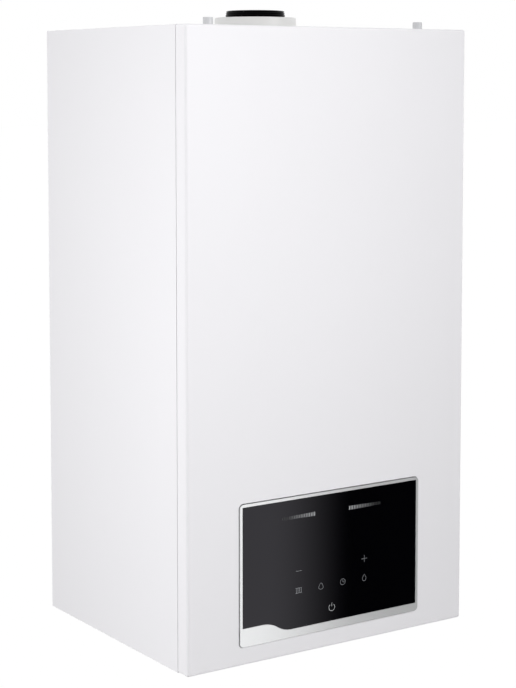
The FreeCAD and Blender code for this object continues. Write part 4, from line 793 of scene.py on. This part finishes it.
class BOILER_OT_hoses(bpy.types.Operator):
    """Run the hoses and the ignition lead, with a spring clip at each hose end"""
    bl_idname = "boiler.hoses"
    bl_label = "Hoses and lead"

    def execute(self, context):
        clips = []
        for node, facts in HOSES.items():
            tube, line = run_of(facts)
            piece = keep(node + "_run", tube, "moulded_rubber", "chassis", [node])
            if "hose" in node:
                for end, step in ((facts["route"][0], -1), (facts["route"][-1], 1)):
                    clips.append(((end[0], end[1], end[2] + step * CLIP_INSET), UP))
        inner, band = CLIP_BORE * MM, CLIP_WIDE * MM / 2
        outer = inner + CLIP_SHEET * MM
        clip = stack([loop(inner, -band), loop(outer, -band), loop(outer, band), loop(inner, band)],
                     ring=True)
        in_places("hose_clips", clip, clips, "bright_zinc", "chassis")
        return {"FINISHED"}


# Loops of the small turned pieces: radius, height and sides, as shares of a screw's or rivet's size
SCREW = ((1, 0, 0), (1, 0.5, 0), (0.82, 1, 0), (0.5, 1, 6), (0.5, 0.35, 6))
RIVET = ((1, 0, 0), (0.92, 0.3, 0), (0.6, 0.5, 0), (0.34, 0.5, 0), (0.3, 0.2, 0))

# The pump's bleed plug the same way, in millimetres
PLUG = ((9, 0, 0), (9, 1.6, 0), (7.6, 2.4, 0), (4.2, 2.4, 6), (4.2, 0.9, 6))
PLUG_PLACE = (122, -234, -482.5)

# Rings of screws in millimetres: middle, radius, count, angle of the first one, facing and plane
FAN_SCREWS = ((105, -300, -244), 57.5, 6, 0.3, FRONT, "XZ")
COLLAR_SCREWS = ((0, -167, 62.7), 56.5, 4, math.pi / 4, UP, "XY")
PUMP_SCREWS = ((122, -156, -482.5), 41.5, 4, math.pi / 4, FRONT, "XZ")

# The back plate's outer face, and its beads' middles, in millimetres
BACK_PLATE_FACE, BEADS_MIDDLE, BEADS_APART = -13.5, -330, 100

# Rows of screws and rivets in millimetres: across, out from the wall, up, and facing
VALVE_SCREWS = ((77, 133), -242, (-304, -362), FRONT)
TRAY_SCREWS = ((-157, 157), -260, (-647, -481), WALL)
EDGE_RIVETS = ((-150, 150), BACK_PLATE_FACE, range(-640, 0, 120), WALL)
SHELF_RIVETS = ((-60, 60), BACK_PLATE_FACE, (-262, -292), WALL)

# Union nuts: their lower ends in millimetres, their sides, and their round end as a share of the flats
NUT_ENDS = ((-84, -191.5, -246), (-110.5, -120, -537), (84, -55, -246), (122, -125, -436),
            (105, -215, -384))
NUT_SIDES, NUT_FACE = 6, 0.98


class BOILER_OT_fasteners(bpy.types.Operator):
    """Put in the screws, rivets and union nuts that hold the pieces together"""
    bl_idname = "boiler.fasteners"
    bl_label = "Fasteners"

    def execute(self, context):
        sizes = context.scene.boiler_fasteners
        screw = turned_piece(SCREW, sizes.screw_head, sizes.screw_rise)
        spots = ring_of(*FAN_SCREWS) + grid_of(*VALVE_SCREWS)
        spots += ring_of(*COLLAR_SCREWS) + ring_of(*PUMP_SCREWS)
        in_places("machine_screws", screw, spots, "bright_zinc", "chassis")
        in_places("tray_screws", screw, grid_of(*TRAY_SCREWS), "bright_zinc", "control_box")
        in_places("pump_bleed_plug", turned_piece(PLUG, MM, MM), [(PLUG_PLACE, FRONT)], "turned_brass",
                  "chassis")
        rivet = turned_piece(RIVET, sizes.rivet_head, sizes.rivet_head)
        spots = grid_of(*EDGE_RIVETS) + grid_of(*SHELF_RIVETS)
        in_places("back_plate_rivets", rivet, spots, "bright_zinc", "chassis")
        flats, tall = sizes.nut_flats / 2, sizes.nut_height
        bore, bevel, face = sizes.nut_bore, sizes.nut_bevel, flats * NUT_FACE
        nut = stack([loop(bore, 0), loop(face, 0), loop(flats, bevel, NUT_SIDES),
                     loop(flats, tall - bevel, NUT_SIDES), loop(face, tall), loop(bore, tall)], ring=True)
        spots = [(end, UP) for end in NUT_ENDS]
        in_places("union_nuts", nut, spots, "turned_brass", "chassis")
        return {"FINISHED"}


# A bead from its foot to its crown, as shares of its width and rise
BEAD_SECTION = ((1.0, -0.2), (1.0, 0.0), (0.84, 0.7), (0.74, 0.95), (0.66, 1.0))

# Middle of a rib above the tray's face, as a share of its rise
RIB_SEAT = 0.4


class BOILER_OT_pressings(bpy.types.Operator):
    """Raise the beads of the back plate and the ribs of the control tray"""
    bl_idname = "boiler.pressings"
    bl_label = "Pressings"

    def execute(self, context):
        sizes = context.scene.boiler_pressings
        wide, tall, rise = sizes.bead_width, sizes.bead_length, sizes.bead_rise
        bead = stack([slot_loop(wide * share, tall - wide * (1 - share), rise * up)
                      for share, up in BEAD_SECTION])
        spots = grid_of((-BEADS_APART, 0, BEADS_APART), BACK_PLATE_FACE, (BEADS_MIDDLE,), WALL)
        in_places("back_plate_beads", bead, spots, "galvanised_sheet", "chassis")
        low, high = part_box("control_tray")
        first = Vector((-sizes.rib_pitch * (sizes.rib_count - 1) / 2,
                        high.y + sizes.rib_rise * RIB_SEAT, (low.z + high.z) / 2))
        rows = bpy.data.node_groups.get("Row of ticks") or tick_tree()
        ribs = bake(rows, bpy.data.meshes.new("none"), {
            "Count": sizes.rib_count, "Last share": 1.0, "First": first, "Step": (sizes.rib_pitch, 0, 0),
            "Tick": (sizes.rib_width, sizes.rib_rise, high.z - low.z - sizes.rib_inset * 2),
            "Finish": bpy.data.materials["grained_black_polyamide"]})
        keep("tray_ribs", ribs, None, "control_box")
        return {"FINISHED"}


# Studio in metres, watts and degrees
WHITE = linear("FFFFFF")
SOFTBOXES = {
    "key_softbox": {"place": (0.6, -2.2, 0.5), "target": (-0.42, -0.33, -0.06), "size": 0.9,
                    "power": 1.95, "spread": 50, "shines": True},
    "side_softbox": {"place": (-2.2, 0.3, 0.35), "target": (-0.2, -0.7, -0.3), "size": 0.9,
                     "power": 2.3, "spread": 50, "shines": False},
    "back_softbox": {"place": (2.1, 1.2, 0.5), "target": (0.0, 0.0, -0.35), "size": 0.6,
                     "power": 14, "spread": 180, "shines": False},
}

# The room's light at eye level, and straight above and below
LEVEL_LIGHT, POLE_LIGHT = 1.33, 0.27

# The floor's half width and height, its glow, and the share of it that a look at the floor meets
FLOOR_REACH, FLOOR_LEVEL, FLOOR_GLOW, FLOOR_SHARE = 80.0, -2.3, 1.02, 0.97

# The dark card's two upright edges, its heights, and where along X it comes in
FLAG_EDGES, FLAG_HEIGHTS, FLAG_FADE = ((0.55, -1.75), (3.0, -1.0)), (-1.5, 1.2), (0.82, 1.0)

# The camera's sensor and lens in millimetres, its shift, place, turn and tilt
SENSOR, LENS, SHIFT = 36, 90.84, -0.17
CAMERA_PLACE, CAMERA_YAW, CAMERA_PITCH = (-1.197, -1.947, -0.005), 34.01, -4.7


class BOILER_OT_stage(bpy.types.Operator):
    """Set the floor, the soft studio light and the camera"""
    bl_idname = "boiler.stage"
    bl_label = "Stage"

    def execute(self, context):
        scene = context.scene
        scene.view_settings.view_transform = "Standard"
        self.world(scene)
        self.floor()
        self.flag()
        for name, facts in SOFTBOXES.items():
            self.lamp(name, **facts)
        self.camera(scene)
        return {"FINISHED"}

    def shown(self, tree):
        """One for rays that show the background: from the camera, or by way of metal or glass."""
        path = add(tree, "ShaderNodeLightPath").outputs
        first = add(tree, "ShaderNodeMath", {0: path["Is Camera Ray"], 1: path["Is Glossy Ray"]},
                    operation="MAXIMUM").outputs["Value"]
        return add(tree, "ShaderNodeMath", {0: first, 1: path["Is Transmission Ray"]},
                   operation="MAXIMUM").outputs["Value"]

    def world(self, scene):
        """Light from all sides, most of it level, behind a white that only the eye meets."""
        scene.world = bpy.data.worlds.new("Studio")
        scene.world.use_nodes = True
        tree = scene.world.node_tree
        tree.nodes.clear()
        ray = add(tree, "ShaderNodeTexCoord").outputs["Generated"]
        height = add(tree, "ShaderNodeSeparateXYZ", {"Vector": ray}).outputs["Z"]
        away = add(tree, "ShaderNodeMath", {0: height}, operation="ABSOLUTE").outputs["Value"]
        level = add(tree, "ShaderNodeMapRange",
                    {"Value": away, "To Min": LEVEL_LIGHT, "To Max": POLE_LIGHT}).outputs["Result"]
        light = add(tree, "ShaderNodeBackground", {"Color": WHITE, "Strength": level})
        white = add(tree, "ShaderNodeBackground", {"Color": WHITE, "Strength": 1.0})
        both = add(tree, "ShaderNodeMixShader",
                   {0: self.shown(tree), 1: light.outputs["Background"], 2: white.outputs["Background"]})
        add(tree, "ShaderNodeOutputWorld", {"Surface": both.outputs["Shader"]})

    def card(self, name, corners, material):
        """One flat face of the stage."""
        mesh = bpy.data.meshes.new(name)
        mesh.from_pydata(corners, [], [range(len(corners))])
        mesh.materials.append(material)
        piece = link(name, mesh)
        return piece

    def floor(self):
        """A pale floor that looks white and still takes the boiler's shadow."""
        material, tree = bare("studio_floor")
        matt = add(tree, "ShaderNodeBsdfDiffuse", {"Color": linear("D8D8D8")})
        glow = add(tree, "ShaderNodeEmission", {"Color": WHITE, "Strength": FLOOR_GLOW})
        share = add(tree, "ShaderNodeMath", {0: self.shown(tree), 1: FLOOR_SHARE}, operation="MULTIPLY")
        both = add(tree, "ShaderNodeMixShader",
                   {0: share.outputs["Value"], 1: matt.outputs["BSDF"], 2: glow.outputs["Emission"]})
        add(tree, "ShaderNodeOutputMaterial", {"Surface": both.outputs["Shader"]})
        signs = ((-1, -1), (1, -1), (1, 1), (-1, 1))
        corners = [(a * FLOOR_REACH, b * FLOOR_REACH, FLOOR_LEVEL) for a, b in signs]
        self.card("floor", corners, material)

    def flag(self):
        """A dark card out of view on the right, which glass and paint mirror with a soft edge."""
        material, tree = bare("flag_cloth")
        place = add(tree, "ShaderNodeTexCoord").outputs["Object"]
        across = add(tree, "ShaderNodeSeparateXYZ", {"Vector": place}).outputs["X"]
        fade = add(tree, "ShaderNodeMapRange",
                   {"Value": across, "From Min": FLAG_FADE[0], "From Max": FLAG_FADE[1]},
                   interpolation_type="SMOOTHSTEP")
        clear = add(tree, "ShaderNodeBsdfTransparent")
        dark = add(tree, "ShaderNodeEmission", {"Color": linear("030304"), "Strength": 1.0})
        both = add(tree, "ShaderNodeMixShader",
                   {0: fade.outputs["Result"], 1: clear.outputs["BSDF"], 2: dark.outputs["Emission"]})
        add(tree, "ShaderNodeOutputMaterial", {"Surface": both.outputs["Shader"]})
        near, far = FLAG_EDGES
        low, high = FLAG_HEIGHTS
        card = self.card("flag", [(*near, low), (*far, low), (*far, high), (*near, high)], material)
        card.visible_camera = False
        card.visible_diffuse = False
        card.visible_shadow = False
        card.visible_transmission = False

    def lamp(self, name, place, target, size, power, spread, shines):
        """A square softbox; a narrow spread keeps its light on one face."""
        data = bpy.data.lights.new(name, "AREA")
        data.size = size
        data.energy = power
        data.spread = math.radians(spread)
        lamp = link(name, data)
        lamp.location = place
        lamp.visible_glossy = shines
        lamp.rotation_euler = (Vector(target) - Vector(place)).to_track_quat("-Z", "Y").to_euler()

    def camera(self, scene):
        """A long lens from the front left, a little above the boiler's middle."""
        data = bpy.data.cameras.new("camera")
        data.sensor_width = SENSOR
        data.lens = LENS
        data.shift_y = SHIFT
        camera = link("camera", data)
        camera.location = CAMERA_PLACE
        yaw, pitch = math.radians(CAMERA_YAW), math.radians(CAMERA_PITCH)
        level = math.cos(pitch)
        ahead = Vector((math.sin(yaw) * level, math.cos(yaw) * level, math.sin(pitch)))
        camera.rotation_euler = ahead.to_track_quat("-Z", "Y").to_euler()
        scene.camera = camera


OPERATORS = (BOILER_OT_finishes, BOILER_OT_hoses, BOILER_OT_flue_seal, BOILER_OT_cover_seal,
             BOILER_OT_panel_marks, BOILER_OT_fasteners, BOILER_OT_pressings, BOILER_OT_stage)


class BOILER_PT_panel(bpy.types.Panel):
    """Lists the steps that dress the boiler"""
    bl_idname = "BOILER_PT_panel"
    bl_label = "Boiler"
    bl_space_type = "VIEW_3D"
    bl_region_type = "UI"
    bl_category = "Boiler"

    def draw(self, context):
        for group in GROUPS:
            settings = getattr(context.scene, group)
            for name in settings.bl_rna.properties.keys():
                if name not in ("rna_type", "name"):
                    self.layout.prop(settings, name)
        for operator in OPERATORS:
            self.layout.operator(operator.bl_idname)


GROUPS = {
    "boiler_casing": CasingLooks,
    "boiler_panel": PanelSizes,
    "boiler_flue": FlueSizes,
    "boiler_fasteners": FastenerSizes,
    "boiler_pressings": PressingSizes,
}


def register():
    for group in (*GROUPS.values(), *OPERATORS, BOILER_PT_panel):
        bpy.utils.register_class(group)
    for name, group in GROUPS.items():
        setattr(bpy.types.Scene, name, PointerProperty(type=group))


def unregister():
    for name in GROUPS:
        delattr(bpy.types.Scene, name)
    for group in (BOILER_PT_panel, *reversed(OPERATORS), *GROUPS.values()):
        bpy.utils.unregister_class(group)


def main():
    register()
    bpy.ops.boiler.finishes()
    bpy.ops.boiler.stage()
    bpy.ops.boiler.hoses()
    bpy.ops.boiler.flue_seal()
    bpy.ops.boiler.cover_seal()
    bpy.ops.boiler.panel_marks()
    bpy.ops.boiler.fasteners()
    bpy.ops.boiler.pressings()


if __name__ == "__main__":
    main()
